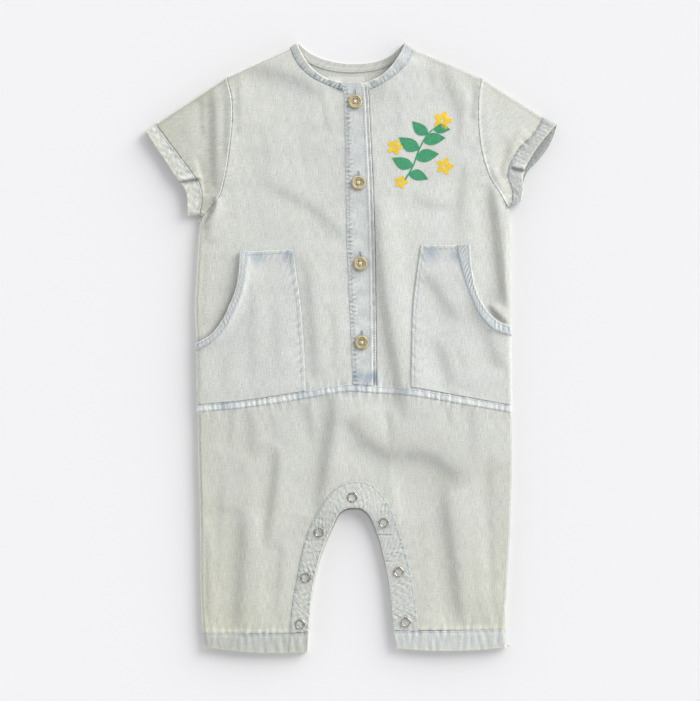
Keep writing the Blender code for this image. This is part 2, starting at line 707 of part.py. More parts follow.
def hem(side, face):
    """A turned hem, from the folded side to the inside leg edge."""
    seam, edge = HEM_SEAMS[side], HEM_EDGES[side]
    seam_height = height_on(seam, HEM_ENDS[side]) - GAP / 2
    top = stretch_of(seam, side_x(side, seam_height), inside_leg_x(side, seam_height), -GAP / 2)
    bottom = stretch_of(edge, getattr(BODY_SIDES[-1], side) * MM, ARCH[0 if side == "west" else -1, 0])
    grid = ruled(stations(bottom, 8, True), stations(top, 8, True), 1)
    return Wall([(grid if side == "west" else grid[:, ::-1], face)], 0.0, -EDGE, EDGE_SWELL)


def sleeve(side):
    """A sleeve: one flattened tube from the cuff to the armhole."""
    hole = armhole(side, -GAP / 2, underarm_roll=True)
    grid = ruled(stations(cuff_seam(side, GAP / 2), 6, True, True), hole, 4)
    return tube(side, grid, grid, PANEL, 0.0)


def cuff_seam(side, shift):
    """The seam between sleeve and cuff, moved towards the body by shift."""
    return beside(column(CUFF_SEAMS, side), shift if side == "west" else -shift)


def cuff(side):
    """A turned cuff: a flattened ring. On the east side its back reaches past its front."""
    seam = stations(cuff_seam(side, -GAP / 2), 6, True, True)
    edge = column(CUFF_EDGES, side)
    back_edge = edge if side == "west" else curve(EAST_CUFF_BACK_EDGE)
    front, back = (ruled(stations(path, 6, True, True), seam, 1) for path in (edge, back_edge))
    return tube(side, front, back, EDGE, EDGE_SWELL)


def tube(side, front, back, thickness, swell):
    """A flattened tube from a front grid and a back grid that meet at both ends of their rows."""
    if side == "east":
        front, back = front[:, ::-1], back[:, ::-1]
    return Wall([(front, FRONT), (back, BACK)], 0.0, -thickness, swell, ring=True)


def neck_binding(side):
    """The front neck binding on one side, from the shoulder to the placket."""
    shift = -GAP if side == "west" else UNDER_PLACKET + GAP
    stop = placket_line(side, shift, NECK_SEAM_FOOT, PLACKET_SIDES[0].y * MM)
    seam, edge = neck_seam(side, -GAP / 2), column(NECK_EDGES, side)
    ended = []
    for path in (seam, edge):
        limit = np.interp(path[-1, 1], stop[:, 1], stop[:, 0])
        before = abs(path[:, 0] - path[0, 0]) < abs(limit - path[0, 0])
        onward = path if side == "west" else path * (-1, 1)
        height = np.interp(abs(limit) * (-1 if side == "west" else -1), onward[:, 0], onward[:, 1])
        ended.append(chain(path[before], [[limit, height]]))
    seam, edge = ended
    grid = ruled(seam, at_fractions(edge, shares(seam)), 1)
    return Wall([(grid if side == "west" else grid[:, ::-1], FRONT)], 0.0, -EDGE, EDGE_SWELL)


def neck_band():
    """The back neck binding, from shoulder to shoulder."""
    seam = back_neck_seam(-GAP / 2)
    return Wall([(ruled(seam, at_fractions(curve(BACK_NECK_EDGE), shares(seam)), 1), BACK)], 0.0, -EDGE)


def neck_label():
    """A plain tape inside the back neck."""
    west, east, south, north = (value * MM for value in NECK_LABEL)
    x, y = np.meshgrid(np.linspace(west, east, 4), np.linspace(south, north, 3))
    return Wall([(np.stack([x, y], axis=2), BACK)], -PANEL - GAP, -PANEL - GAP - LABEL)


def placket_foot(side, shift, above):
    """The lowest point of a line along the placket, a distance above the waist seam."""
    x = placket_line(side, shift, height_on(WAIST, PLACKET_FOOT), 0.0)[0, 0]
    return height_on(WAIST, x) + above


def lower_placket():
    """The strip between the two fronts, which shows past the placket's east edge."""
    west, east = (
        placket_line(side, shift, placket_foot(side, shift, GAP), UNDER_PLACKET_TOP)
        for side, shift in (("west", PLACKET_SEAM + GAP), ("east", UNDER_PLACKET))
    )
    grid = between(west, east, 2, np.linspace(0, 1, 19)).transpose(1, 0, 2)
    return Wall([(grid, FRONT)], 0.0, -PANEL)


def placket():
    """The button strip, with its top corners rounded, from the neck to the waist strip."""
    top, above = PLACKET_SIDES[0].y * MM, WAIST_STRIP / 2 + 2 * GAP
    west, east = (placket_line(side, 0.0, placket_foot(side, 0.0, above), top) for side in ("west", "east"))
    upward = np.concatenate([np.linspace(0, PLACKET_CORNER, 19), [(1 + PLACKET_CORNER) / 2, 1.0]])
    grid = between(west, east, 3, upward).transpose(1, 0, 2)
    return Wall([(grid, FRONT)], GAP + TRIM, GAP)


def waist_strip():
    """The strip over the waist seam, from side to side."""
    edges = []
    for shift in (-WAIST_STRIP / 2, WAIST_STRIP / 2):
        ends = (side_x(side, height_on(WAIST, x) + shift) for side, x in WAIST_ENDS.items())
        edges.append(stations(stretch_of(WAIST, *ends, shift), 28, True, True))
    return Wall([(ruled(*edges, 2), FRONT)], GAP + TRIM, GAP)


def pocket_seam(side, shift):
    """Points up the seam of a pocket's binding, moved towards the pocket by shift."""
    path = curve([row[:2] for row in POCKET_BINDINGS[side]])[::-1]
    return stations(beside(path, -shift if side == "west" else shift), 9, True)


def pocket(side):
    """A patch pocket with a curved opening at its outer side, from its top to the waist strip."""
    above = WAIST_STRIP / 2 + GAP
    seam = pocket_seam(side, GAP / 2)
    low_y = height_on(WAIST, WAIST_ENDS[side]) + above
    body = at_fractions(side_edge(side, low_y, seam[0, 1]), np.linspace(0, 1, 5))
    outer = chain(body[:-1], seam)
    inner = curve(POCKET_INNER[side])[::-1]
    inner = inner[inner[:, 1] > height_on(WAIST, inner[0, 0]) + above]
    inner = at_fractions(inner, shares(outer))
    low = stations(stretch_of(WAIST, outer[0, 0], inner[0, 0], above), 7, True)
    high = at_fractions(np.vstack([outer[-1:], inner[-1:]]), shares(low))
    grid = patch(low, high, outer, inner)
    return Wall([(grid if side == "west" else grid[:, ::-1], FRONT)], GAP + TRIM, GAP)


def pocket_binding(side):
    """The binding round a pocket's curved opening."""
    seam = pocket_seam(side, -GAP / 2)
    edge = at_fractions(curve([row[2:] for row in POCKET_BINDINGS[side]])[::-1], shares(seam))
    grid = ruled(seam, edge, 1)
    return Wall([(grid if side == "west" else grid[:, ::-1], FRONT)], 2 * GAP + TRIM, 2 * GAP)


def crotch_facing():
    """The facing on the front's inside leg edge, hem seam to hem seam."""
    seam = curve(FACING_SEAM)
    edge = ARCH[(ARCH[:, 1] > seam[0, 1]) & (ARCH[:, 1] > seam[-1, 1])]
    return Wall([(between(edge, seam, 2, np.linspace(0, 1, 27)), FRONT)], GAP + TRIM, GAP)


def back_facing():
    """The facing inside the back's leg edge."""
    edge = back_arch()
    edge = edge[edge[:, 1] > (FACING_SEAM[-1].y + 2) * MM]
    grid = between(edge, beside(edge, BACK_FACING), 1, np.linspace(0, 1, 27))
    return Wall([(grid, BACK)], -PANEL - GAP, -PANEL - GAP - TRIM)


def lathe(name, profile, segments):
    """A turned mesh from a closed profile of (radius, height) points."""
    angle = np.arange(segments) * 2 * pi / segments
    radius, height = np.array(profile).T
    points = np.stack([np.outer(np.cos(angle), radius), np.outer(np.sin(angle), radius),
                       np.broadcast_to(height, (segments, len(profile)))], axis=2).reshape(-1, 3)
    body = bmesh.new()
    verts = [body.verts.new(point) for point in points]
    count = len(profile)
    for turn in range(segments):
        here, there = turn * count, (turn + 1) % segments * count
        for step in range(count):
            after = (step + 1) % count
            body.faces.new([verts[i] for i in (here + step, there + step, there + after, here + after)])
    bmesh.ops.remove_doubles(body, verts=body.verts, dist=0.001 * MM)
    bmesh.ops.recalc_face_normals(body, faces=body.faces)
    mesh = bpy.data.meshes.new(name)
    body.to_mesh(mesh)
    body.free()
    mesh.shade_smooth()
    mesh.set_sharp_from_angle(angle=pi / 5)
    return mesh


def top_under(skin, at, reach):
    """Highest point of a carrying face under a round piece."""
    around = [(0.0, 0.0)] + [(reach * np.cos(turn), reach * np.sin(turn)) for turn in np.arange(12) * pi / 6]
    hits = [skin.ray_cast(Vector((at[0] + x, at[1] + y, ABOVE)), DOWN)[0] for x, y in around]
    return max(hit.z for hit in hits if hit)


def add_buttons(skin):
    """Four dished buttons with four holes, each on the placket."""
    radius, height = BUTTON_RADIUS, BUTTON_HEIGHT
    profile = [(0, 0), (0.8 * radius, 0), (radius, 0.4 * height), (0.95 * radius, 0.85 * height),
               (0.8 * radius, height), (0.62 * radius, 0.68 * height), (0, 0.6 * height)]
    for number, row in enumerate(BUTTONS, 1):
        at = (row.x * MM, row.y * MM)
        at = (*at, top_under(skin, at, radius) + GAP)
        name = f"button_{number}"
        button = place(name, lathe(name, profile, 16), BUTTON_HORN, at)
        holes = bmesh.new()
        for side_x in (-1, 1):
            for side_y in (-1, 1):
                made = bmesh.ops.create_cone(holes, cap_ends=True, segments=6, radius1=BUTTON_HOLE,
                                             radius2=BUTTON_HOLE, depth=4 * height)["verts"]
                shift = Vector((side_x, side_y, 0)) * BUTTON_HOLE_PITCH / 2
                bmesh.ops.translate(holes, verts=made, vec=shift)
        mesh = bpy.data.meshes.new(f"{name}_holes")
        holes.to_mesh(mesh)
        holes.free()
        cutter = place(f"{name}_holes", mesh, BUTTON_HORN, at)
        cutter.hide_render = True
        cutter.display_type = "WIRE"
        cut = button.modifiers.new("holes", "BOOLEAN")
        cut.object, cut.operation, cut.solver = cutter, "DIFFERENCE", "EXACT"


def add_snaps(skin):
    """Seven ring snap caps on the crotch facing."""
    middle = SNAP_RADIUS - SNAP_TUBE
    turns = np.arange(5) * 2 * pi / 5 - pi * 0.7
    profile = [(middle + SNAP_TUBE * np.cos(turn), SNAP_HEIGHT / 2 * (1 + np.sin(turn))) for turn in turns]
    for number, row in enumerate(SNAPS, 1):
        at = (row.x * MM, row.y * MM)
        name = f"snap_{number}"
        place(name, lathe(name, profile, 12), SNAP_METAL, (*at, top_under(skin, at, SNAP_RADIUS) + GAP))


def tree_of(walls):
    """One search tree over the outer faces of several walls."""
    points, triangles = [], []
    for wall in walls:
        triangles += (wall.triangles + len(points)).tolist()
        points += wall.outer.tolist()
    return BVHTree.FromPolygons(points, triangles)


def main():
    """Builds the garment: panels first, then what is sewn on them, then buttons and snaps."""
    for obj in list(bpy.data.objects):
        bpy.data.objects.remove(obj, do_unlink=True)
    bpy.context.scene.collection.objects.link(bpy.data.objects.new("overalls", None))
    worn = {"west": "right", "east": "left"}

    fronts = {
        "front_bodice_right": bodice_front("west"),
        "front_bodice_left": bodice_front("east"),
        "placket_under": lower_placket(),
        "front_lower": Wall(halves(ARCH, FRONT, 8, 8), 0.0, -PANEL),
    }
    for name, wall in fronts.items():
        sew(name, wall, DENIM)
    sew("back_bodice", bodice_back(), DENIM_WRONG_SIDE)
    sew("back_lower", Wall(halves(back_arch(), BACK, 8, 4), 0.0, -PANEL), DENIM_WRONG_SIDE)
    for side, worn_side in worn.items():
        sew(f"sleeve_{worn_side}", sleeve(side), DENIM)
        sew(f"cuff_{worn_side}", cuff(side), BINDING_CLOTH)
        sew(f"hem_front_{worn_side}", hem(side, FRONT), DENIM)
        sew(f"hem_back_{worn_side}", hem(side, BACK), DENIM)
        sew(f"neck_binding_{worn_side}", neck_binding(side), BINDING_CLOTH)
    sew("neck_band_back", neck_band(), BINDING_CLOTH)
    sew("neck_label", neck_label(), LABEL_TAPE)
    sew("crotch_facing_back", back_facing(), BINDING_CLOTH)

    carriers = tree_of(fronts.values())
    button_strip, facing = placket(), crotch_facing()
    trims = [("placket", button_strip, DENIM), ("waist_strip", waist_strip(), DENIM),
             ("crotch_facing", facing, BINDING_CLOTH)]
    for side, worn_side in worn.items():
        trims.append((f"pocket_{worn_side}", pocket(side), DENIM))
        trims.append((f"pocket_binding_{worn_side}", pocket_binding(side), BINDING_CLOTH))
    for name, wall, look in trims:
        wall.raise_clear(carriers)
        sew(name, wall, look)
    add_buttons(button_strip.skin())
    add_snaps(facing.skin())


main()
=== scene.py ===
"""Looks of a baby's short-sleeved denim overalls, buttoned and laid flat with the front up.

Metres, +Z up, the back on z = 0, +Y from the hems to the neck. West is -X, the wearer's right. The sizes
in the tables are the garment's own, in millimetres. Every cloth piece is a thin closed shell: plan points
on a grid are laid on the front or the back of the flat garment, and two surfaces stand off them.
"""

from __future__ import annotations

import logging
import math
from dataclasses import dataclass, field, replace
from enum import Enum
from typing import NamedTuple

import bpy
import numpy as np
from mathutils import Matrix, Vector
from mathutils.bvhtree import BVHTree

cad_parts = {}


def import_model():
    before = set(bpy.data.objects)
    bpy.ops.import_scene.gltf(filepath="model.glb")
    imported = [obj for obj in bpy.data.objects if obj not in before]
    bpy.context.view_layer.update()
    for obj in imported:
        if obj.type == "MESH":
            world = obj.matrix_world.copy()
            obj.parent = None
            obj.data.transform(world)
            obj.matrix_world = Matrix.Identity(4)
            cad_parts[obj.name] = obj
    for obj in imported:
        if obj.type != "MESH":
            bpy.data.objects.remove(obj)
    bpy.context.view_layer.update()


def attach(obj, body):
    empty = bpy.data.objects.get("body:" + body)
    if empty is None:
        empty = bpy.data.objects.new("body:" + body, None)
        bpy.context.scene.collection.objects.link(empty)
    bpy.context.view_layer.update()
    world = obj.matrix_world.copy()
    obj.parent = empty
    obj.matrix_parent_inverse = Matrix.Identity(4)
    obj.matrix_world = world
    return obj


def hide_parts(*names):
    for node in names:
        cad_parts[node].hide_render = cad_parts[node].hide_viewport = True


log = logging.getLogger("overalls")
Array = np.ndarray
MM = 0.001


class Side(NamedTuple):
    """Height and the two folded sides of the body there, or of the placket."""

    y: float
    west: float
    east: float


class Pair(NamedTuple):
    """A west point and its east counterpart."""

    west_x: float
    west_y: float
    east_x: float
    east_y: float


class Binding(NamedTuple):
    """A seam point and the free edge point across from it."""

    seam_x: float
    seam_y: float
    edge_x: float
    edge_y: float


class Crease(NamedTuple):
    """A fold along a line through three points: the cloth dips on its right and swells on its left.

    Width is that of each half's steep part, height the rise from the dip to the swell.
    """

    x0: float
    y0: float
    x1: float
    y1: float
    x2: float
    y2: float
    width: float
    height: float


class Face(Enum):
    """Which side of the flat garment a piece lies on."""

    FRONT = 1
    BACK = -1


class End(Enum):
    """What a row of stations comes to: more cloth, a cut or turned edge, or the garment's folded side."""

    PLAIN = "plain"
    EDGE = "edge"
    FOLD = "fold"


# The garment's build, the same as in its solids.
GAP = 0.3 * MM
SEAM = 0.02 * MM  # half the parting of two panels sewn edge to edge
FRONT_TOP = 7.0 * MM  # outer face of the front above the floor
SIDE_SEAM = 3.5 * MM  # height of the folded side
ROLL = 3.5 * MM  # width over which the cloth turns down to it
CLOTH = 1.6 * MM  # wall of a panel with its nap
TRIM = 1.2 * MM  # wall of a strip or pocket
PRESSED = 0.95 * MM  # how far it stands off the cloth that it is sewn to
TURNED = 2.4 * MM  # wall of a doubled edge
TURNED_SWELL = 0.5 * MM
LABEL = 0.6 * MM
FOLD_LIMITS = (-2.5 * MM, 2.4 * MM)
ON_FOLD = 0.12 * MM  # a point this near the folded side counts as on it
NECK_DROP = 1.6 * MM  # how far the neck edge lies below the front on the west
NECK_LIFT = 2.0  # how many times that it stands above the front on the east
ARCH_DROP = 1.1 * MM
DROP_REACH = 22.0 * MM
BACK_SHOWS = 2.3 * MM
PLACKET_SEAM = 5.0 * MM
UNDER_PLACKET = 3.3 * MM
UNDER_PLACKET_TOP = 248.6 * MM
NECK_SEAM_FOOT = 236.0 * MM
WAIST_STRIP = 6.8 * MM
BACK_FACING = 14.0 * MM
BUTTON_RADIUS = 6.5 * MM
SNAP_RADIUS = 4.75 * MM

# How finely the cloth is drawn.
PANEL_STEP = 1.5 * MM
BACK_STEP = 2.4 * MM
TRIM_STEP = 0.8 * MM
SPANS = 20
RELIEF_IN = 5.5 * MM  # width over which folds die out towards it
ROLL_TURNS = np.radians([0, 22, 36, 50, 62, 75, 90])
MARGINS = {
    End.PLAIN: np.zeros(1),
    End.EDGE: np.array([0.0, 0.3, 0.7, 1.2, 1.9]) * MM,
    End.FOLD: (1 - np.cos(ROLL_TURNS)) * ROLL,
}

# How light each piece is drawn, against the right front: partly its wash tone, partly painted light and shade for how
# lit each piece looks.
WASH_TONE_AND_PAINTED_SHADE = {
    "front_bodice_left": 1.05, "front_lower": 0.95, "sleeve_right": 0.91, "sleeve_left": 1.1,
    "cuff_right": 1.08, "cuff_left": 0.93, "hem_front_right": 0.9, "hem_front_left": 1.05, "back_bodice": 1.08,
    "neck_binding_right": 0.9, "waist_strip": 1.1, "pocket_left": 1.05,
}

# Painted shade: the cloth is drawn darker in its folds, by their steepness, and on the folded edges towards the east
# and north, which face the light.
SUNNY_WAY = np.array([0.5, 0.87])
EDGE_PAINTED_SHADE = 0.34
EDGE_REACH = 3.6 * MM
FOLD_PAINTED_SHADE = 0.15

BODY_SIDES = (
    Side(123.6, -139.6, 149.2), Side(117.0, -142.0, 149.7), Side(104.0, -143.3, 150.0),
    Side(70.0, -145.3, 150.0), Side(35.0, -147.0, 150.0), Side(0.0, -145.3, 150.2),
    Side(-47.0, -144.7, 150.6), Side(-100.0, -144.1, 151.5), Side(-134.0, -143.1, 151.0),
    Side(-170.0, -142.3, 149.8), Side(-219.0, -141.8, 147.2), Side(-262.0, -140.2, 145.3),
    Side(-283.0, -138.0, 147.4),
)
NECK_TIPS = Pair(-51.2, 286.7, 50.5, 286.7)
SHOULDERS = Pair(-58.3, 281.5, 58.4, 280.2)
ARMHOLES = (
    Pair(-117.3, 254.4, 122.6, 253.0), Pair(-112.3, 232.6, 120.0, 236.1), Pair(-111.9, 216.2, 119.4, 221.5),
    Pair(-114.3, 189.0, 120.7, 199.1), Pair(-119.1, 158.9, 124.0, 179.3), Pair(-125.2, 140.1, 130.6, 159.6),
    Pair(-133.1, 130.6, 139.0, 146.0), Pair(-139.4, 123.6, 146.9, 131.6),
)
CUFF_SEAMS = (
    Pair(-184.3, 210.1, 180.5, 216.1), Pair(-163.0, 181.5, 171.5, 200.4), Pair(-150.0, 164.0, 157.2, 186.1),
    Pair(-142.6, 153.0, 148.8, 171.0), Pair(-140.6, 146.0, 146.9, 162.0), Pair(-140.6, 136.0, 151.2, 146.0),
    Pair(-142.9, 123.8, 150.7, 132.4),
)
CUFF_EDGES = (
    Pair(-194.4, 203.6, 194.1, 210.0), Pair(-177.0, 177.5, 183.2, 197.8), Pair(-167.0, 162.5, 172.3, 183.5),
    Pair(-160.0, 153.0, 164.0, 168.6), Pair(-155.8, 146.5, 161.9, 163.0), Pair(-154.4, 136.0, 162.3, 147.4),
    Pair(-154.4, 124.0, 159.9, 136.0),
)
EAST_CUFF_BACK_EDGE = (
    (194.1, 210.0), (188.2, 193.6), (175.6, 175.2), (166.5, 165.8), (162.9, 158.5), (162.4, 147.4),
    (159.9, 136.0),
)
NECK_SEAMS = (
    Pair(*SHOULDERS), Pair(-51.8, 267.8, 54.3, 268.4), Pair(-44.7, 259.3, 47.4, 260.7),
    Pair(-35.1, 252.1, 35.9, 251.1), Pair(-26.5, 247.8, 27.0, 245.9), Pair(-14.9, 243.4, 20.8, 243.0),
    Pair(-2.2, 240.2, 15.9, 241.4),
)
NECK_EDGES = (
    Pair(*NECK_TIPS), Pair(-47.4, 278.0, 47.4, 278.9), Pair(-40.8, 267.5, 41.6, 269.4),
    Pair(-33.0, 259.4, 35.0, 261.2), Pair(-22.7, 253.1, 25.5, 254.0), Pair(-8.6, 249.4, 15.2, 249.6),
)
BACK_NECK_SEAM = (
    SHOULDERS[:2], (-41.0, 268.6), (-28.4, 263.2), (-9.2, 259.3), (10.0, 259.3), (25.4, 261.6),
    (38.0, 266.9), SHOULDERS[2:],
)
BACK_NECK_EDGE = (
    NECK_TIPS[:2], (-38.0, 276.1), (-28.4, 271.8), (-14.9, 268.0), (5.2, 266.5), (24.3, 268.9),
    (36.8, 274.2), NECK_TIPS[2:],
)
NECK_SHADE = 38.0  # x about which the inside of the neck is painted darkest: painted shadow of the raised east neck edge
NECK_LABEL = (-22.7, 12.7, 239.5, 254.4)
PLACKET_SIDES = (
    Side(249.2, -8.4, 9.6), Side(246.5, -8.0, 11.9), Side(240.0, -7.2, 12.8), Side(214.0, -5.9, 14.2),
    Side(179.0, -5.2, 15.9), Side(96.0, -4.1, 19.0), Side(40.0, -1.6, 19.8), Side(-16.0, 0.8, 20.4),
    Side(-46.0, 2.0, 20.7),
)
WAIST = (
    (-150.0, -58.2), (-97.9, -53.4), (-43.5, -45.2), (-0.5, -38.5), (20.0, -39.7), (56.2, -42.3),
    (96.4, -48.9), (156.0, -59.3),
)
WAIST_ENDS = {"west": -144.7 * MM, "east": 150.6 * MM}
PLACKET_FOOT = 11.0 * MM
WAIST_BLUE = ((-47, 5), (6, 12), (52, 6), (-120, 6))  # x and reach of the blue left on the waist strip
HEM_SEAMS = {
    "west": ((-142.0, -268.4), (-90.0, -269.2), (-36.0, -269.0)),
    "east": ((36.0, -267.0), (90.0, -266.6), (149.0, -265.2)),
}
HEM_EDGES = {
    "west": ((-141.0, -281.8), (-86.8, -286.9), (-36.0, -286.2)),
    "east": ((38.0, -282.6), (69.0, -284.7), (133.8, -283.1), (150.0, -281.3)),
}
HEM_ENDS = {"west": -140.0 * MM, "east": 145.5 * MM}
INSIDE_LEGS = (
    (-40.9, -286.6), (-39.9, -268.5), (-36.6, -231.0), (-31.4, -204.9), (-25.6, -187.0), (-17.6, -168.5),
    (-9.6, -154.6), (-4.0, -151.8), (2.6, -151.0), (9.0, -151.6), (14.0, -155.0), (24.3, -174.8),
    (31.2, -200.6), (36.2, -228.0), (39.9, -265.3), (43.1, -284.0),
)
ARCH_TOP = 8 * SPANS
FACING_SEAM = (
    (-57.6, -269.1), (-55.6, -246.0), (-50.9, -218.0), (-41.9, -177.9), (-34.1, -159.2), (-22.5, -141.3),
    (-13.9, -132.3), (-4.5, -127.7), (7.1, -126.1), (17.3, -128.5), (26.7, -136.3), (34.4, -146.8),
    (47.7, -181.8), (57.4, -219.9), (61.5, -249.0), (63.6, -266.9),
)
FACING_JOIN = ((25.0, -176.0), (38.5, -176.4))  # where the facing is pieced on the east leg
POCKET_INNER = {
    "west": ((-54.5, 91.8), (-52.1, 72.2), (-47.7, 40.7), (-45.1, 9.4), (-43.2, -22.1), (-42.6, -46.0)),
    "east": ((65.6, 95.6), (61.9, 72.2), (58.1, 40.7), (56.8, 9.4), (56.2, -22.1), (56.2, -46.0)),
}
POCKET_BINDINGS = {
    "west": (
        Binding(-97.4, 89.6, -104.6, 89.2), Binding(-99.3, 67.3, -105.6, 68.5),
        Binding(-103.0, 49.6, -108.1, 55.9), Binding(-110.5, 32.0, -114.3, 39.5),
        Binding(-119.4, 15.7, -121.9, 24.4), Binding(-130.8, 4.3, -132.0, 11.8),
        Binding(-145.4, -3.4, -145.4, 3.6),
    ),
    "east": (
        Binding(99.0, 95.6, 111.6, 96.0), Binding(102.7, 77.3, 113.5, 72.2),
        Binding(107.8, 59.6, 116.7, 55.9), Binding(114.1, 43.3, 123.0, 40.7),
        Binding(123.0, 26.9, 130.5, 30.7), Binding(134.2, 16.2, 138.0, 24.4),
        Binding(150.1, 10.6, 150.0, 20.0),
    ),
}
MOUTH_FOOT = (135.0, 27.5)  # the hollow at the foot of the east pocket's opening
POCKET_BLUE = {"west": ((-89, 85, 7), (-59, 86, 6)), "east": ((99, 86, 6), (75, 89, 8))}  # x, y, reach of stains
BUTTONS = ((3.6, 230.7), (6.9, 154.3), (8.6, 78.5), (9.9, 4.3))
BUTTONHOLE = 7.6  # how far above a button's middle the open end of its buttonhole shows
SNAPS = (
    (1.2, -141.1), (-30.1, -174.1), (-42.6, -216.7), (-48.1, -260.5), (30.9, -165.0), (44.6, -211.3),
    (51.4, -258.6),
)

# The sharp bends of the cuffs, by side.
CUFF_BENDS = {
    "west": Crease(-162, 155, -151, 157, -141, 158.5, 1.6, 3.2),
    "east": Crease(151, 168.5, 157, 167.5, 164, 165.5, 1.6, 3.0),
}
# The folds, the largest first. The solids hold those in a plainer form.
CREASES = (
    Crease(23, 142, 29, 52, 52, -72, 9, 6.4),  # beside the placket
    Crease(130, 155, 137, 107, 144, 37, 6.2, 5.4),  # below the east armhole
    Crease(-131, 247, -130, 204, -129, 148, 5.4, 3.3),  # down the west sleeve
    Crease(-84, 150, -43, 134, -5, 98, 8.2, 1.3),  # across the chest
    Crease(-42, 84, -38, 25, -34, -33, 8, 1.9),  # beside the west pocket
    Crease(-16, -44, -23, -94, -33, -160, 9, 5.4),  # waist to the arch
    Crease(-2, -62, 18, -92, 50, -108, 13, 4.0),  # across the seat
    Crease(36, -100, 76, -106, 106, -134, 20, 7.0),
    Crease(84, -123, 93, -186, 102, -262, 10.6, 4.6),  # down the east leg
    Crease(-69, -92, -74, -138, -81, -190, 6.5, 2.8),  # short, on the west leg
    Crease(-102, -150, -104, -205, -108, -272, 10.6, 4.4),  # down the west leg
    Crease(68, 71, 84, 48, 100, 22, 8.2, 1.75),  # across the east pocket
    Crease(81, 7, 88, -14, 96, -40, 5.9, 1.6),
    Crease(127, 18, 132, -1, 140, -22, 5.9, 1.6),
    Crease(-128, 135, -133, 119, -138, 99, 4.8, 2.1),  # from the west underarm
    Crease(-102, 262, -64, 254, -24, 236, 14, 3.4),  # from the west shoulder
    Crease(113, -52, 114, -78, 116, -110, 7, 1.35),  # below the waist
    Crease(-97, -56, -95, -76, -94, -104, 8, 1.6), Crease(-45, -50, -40, -68, -36, -92, 6, 1.6),
    Crease(84, 262, 94, 243, 99, 214, 8, 1.6),  # from the east shoulder
    Crease(150, 196, 146, 182, 141, 160, 3.4, 1.1), Crease(160, 208, 152, 192, 147, 172, 3.2, 1.0),
    Crease(-136, -172, -136, -214, -136, -257, 5.9, 1.45),  # along the west leg's side
    Crease(129, 40, 136, 31, 147, 22, 3.0, 2.7),  # below the east pocket's opening
    Crease(-127, 141, -131, 127, -139, 113, 2.1, 4.0),  # the west underarm
    Crease(-139, 140, -141, 160, -147, 178, 3.0, 1.8),  # beside the west cuff's seam
    *CUFF_BENDS.values(),
    Crease(-107, 255, -106, 228, -106, 200, 3.8, 0.75), Crease(-141, 236, -140, 217, -139, 196, 2.8, 1.1),
    Crease(-45, -196, -48, -225, -51, -255, 3.8, 0.75), Crease(-111, -52, -113, -73, -115, -97, 4.7, 0.65),
    Crease(-95, 80, -93, 25, -93, -37, 4.7, 0.5), Crease(-136, 91, -138, 54, -139, 14, 3.8, 0.55),
    Crease(105, 242, 103, 215, 100, 187, 5.6, 1.2), Crease(118, 251, 117, 234, 114, 212, 4.2, 1.3),
    Crease(109, 178, 104, 148, 100, 112, 5.6, 1.0), Crease(-4, 227, -4, 195, -5, 163, 3.8, 0.5),
    Crease(21, 178, 21, 166, 21, 153, 2.8, 0.55), Crease(129, -82, 132, -163, 135, -255, 5.6, 0.65),
    Crease(131, 168, 136, 155, 143, 144, 3.8, 0.95), Crease(-152, 242, -143, 234, -136, 223, 5.6, 0.75),
    Crease(90, -54, 92, -63, 95, -78, 3.8, 0.75), Crease(-27, 242, -25, 221, -21, 200, 4.7, 0.55),
    Crease(73, 264, 76, 253, 78, 238, 4.7, 0.65), Crease(145, 133, 146, 118, 147, 104, 2.8, 0.75),
    Crease(138, 91, 140, 72, 143, 52, 2.8, 0.55), Crease(-146, 116, -147, 101, -146, 84, 2.8, 0.55),
    Crease(-76, -59, -73, -72, -71, -87, 4.7, 0.55),
    Crease(36, -59, 39, -76, 42, -91, 4.7, 0.65), Crease(-31, -116, -27, -87, -24, -63, 3.8, -0.5),
    Crease(65, -144, 68, -191, 72, -249, 6.6, 0.55), Crease(-121, -116, -123, -163, -126, -228, 5.6, 0.65),
    Crease(-64, -181, -68, -219, -70, -257, 4.7, 0.65), Crease(-84, -200, -84, -228, -86, -258, 4.7, -0.55),
    Crease(114, -181, 117, -219, 121, -257, 5.6, 0.55), Crease(-67, 44, -71, 16, -69, -23, 5.6, 0.5),
    Crease(-116, -5, -118, -23, -120, -46, 4.7, 0.5), Crease(100, 3, 106, -18, 108, -42, 4.7, 0.55),
    Crease(112, 44, 119, 27, 129, 16, 4.7, 0.55), Crease(-20, 44, -16, 16, -16, -23, 4.7, 0.55),
    Crease(-84, 213, -80, 185, -84, 153, 7.5, 0.5), Crease(57, 142, 74, 134, 99, 131, 6.6, 0.65),
    Crease(-118, 250, -117, 215, -119, 172, 3.2, 0.9),
    Crease(42, 242, 45, 221, 43, 195, 5.6, 0.55), Crease(1, 108, -1, 101, -1, 91, 3.8, 0.4),
    Crease(141, 139, 144, 136, 148, 131, 2.2, 0.5), Crease(142, 112, 145, 104, 149, 96, 2.6, 0.5),
    Crease(143, 80, 146, 70, 149, 58, 2.6, 0.45), Crease(-141, 118, -139, 110, -140, 96, 2.4, 0.4),
)
# Recesses in the back, which lies on the floor and so only turns up from it.
BACK_CREASES = (
    Crease(-70, 190, -20, 170, 40, 176, 12, 0.8),
    Crease(-96, 120, -60, 100, -10, 96, 11, 0.7),
    Crease(60, 130, 92, 96, 104, 40, 11, 0.8),
    Crease(-110, 60, -104, 10, -108, -40, 10, 0.7),
    Crease(20, 60, 14, 10, 22, -30, 10, 0.6),
    Crease(-40, -60, -52, -110, -30, -150, 11, 0.9),
    Crease(30, -60, 52, -110, 34, -150, 11, 0.9),
    Crease(-80, -90, -30, -118, 40, -112, 12, 0.8),
    Crease(-96, -130, -92, -190, -98, -250, 10, 0.8),
    Crease(94, -126, 98, -190, 92, -252, 10, 0.8),
    Crease(-118, 230, -122, 200, -120, 160, 8, 0.6),
    Crease(112, 236, 108, 206, 112, 170, 8, 0.6),
)


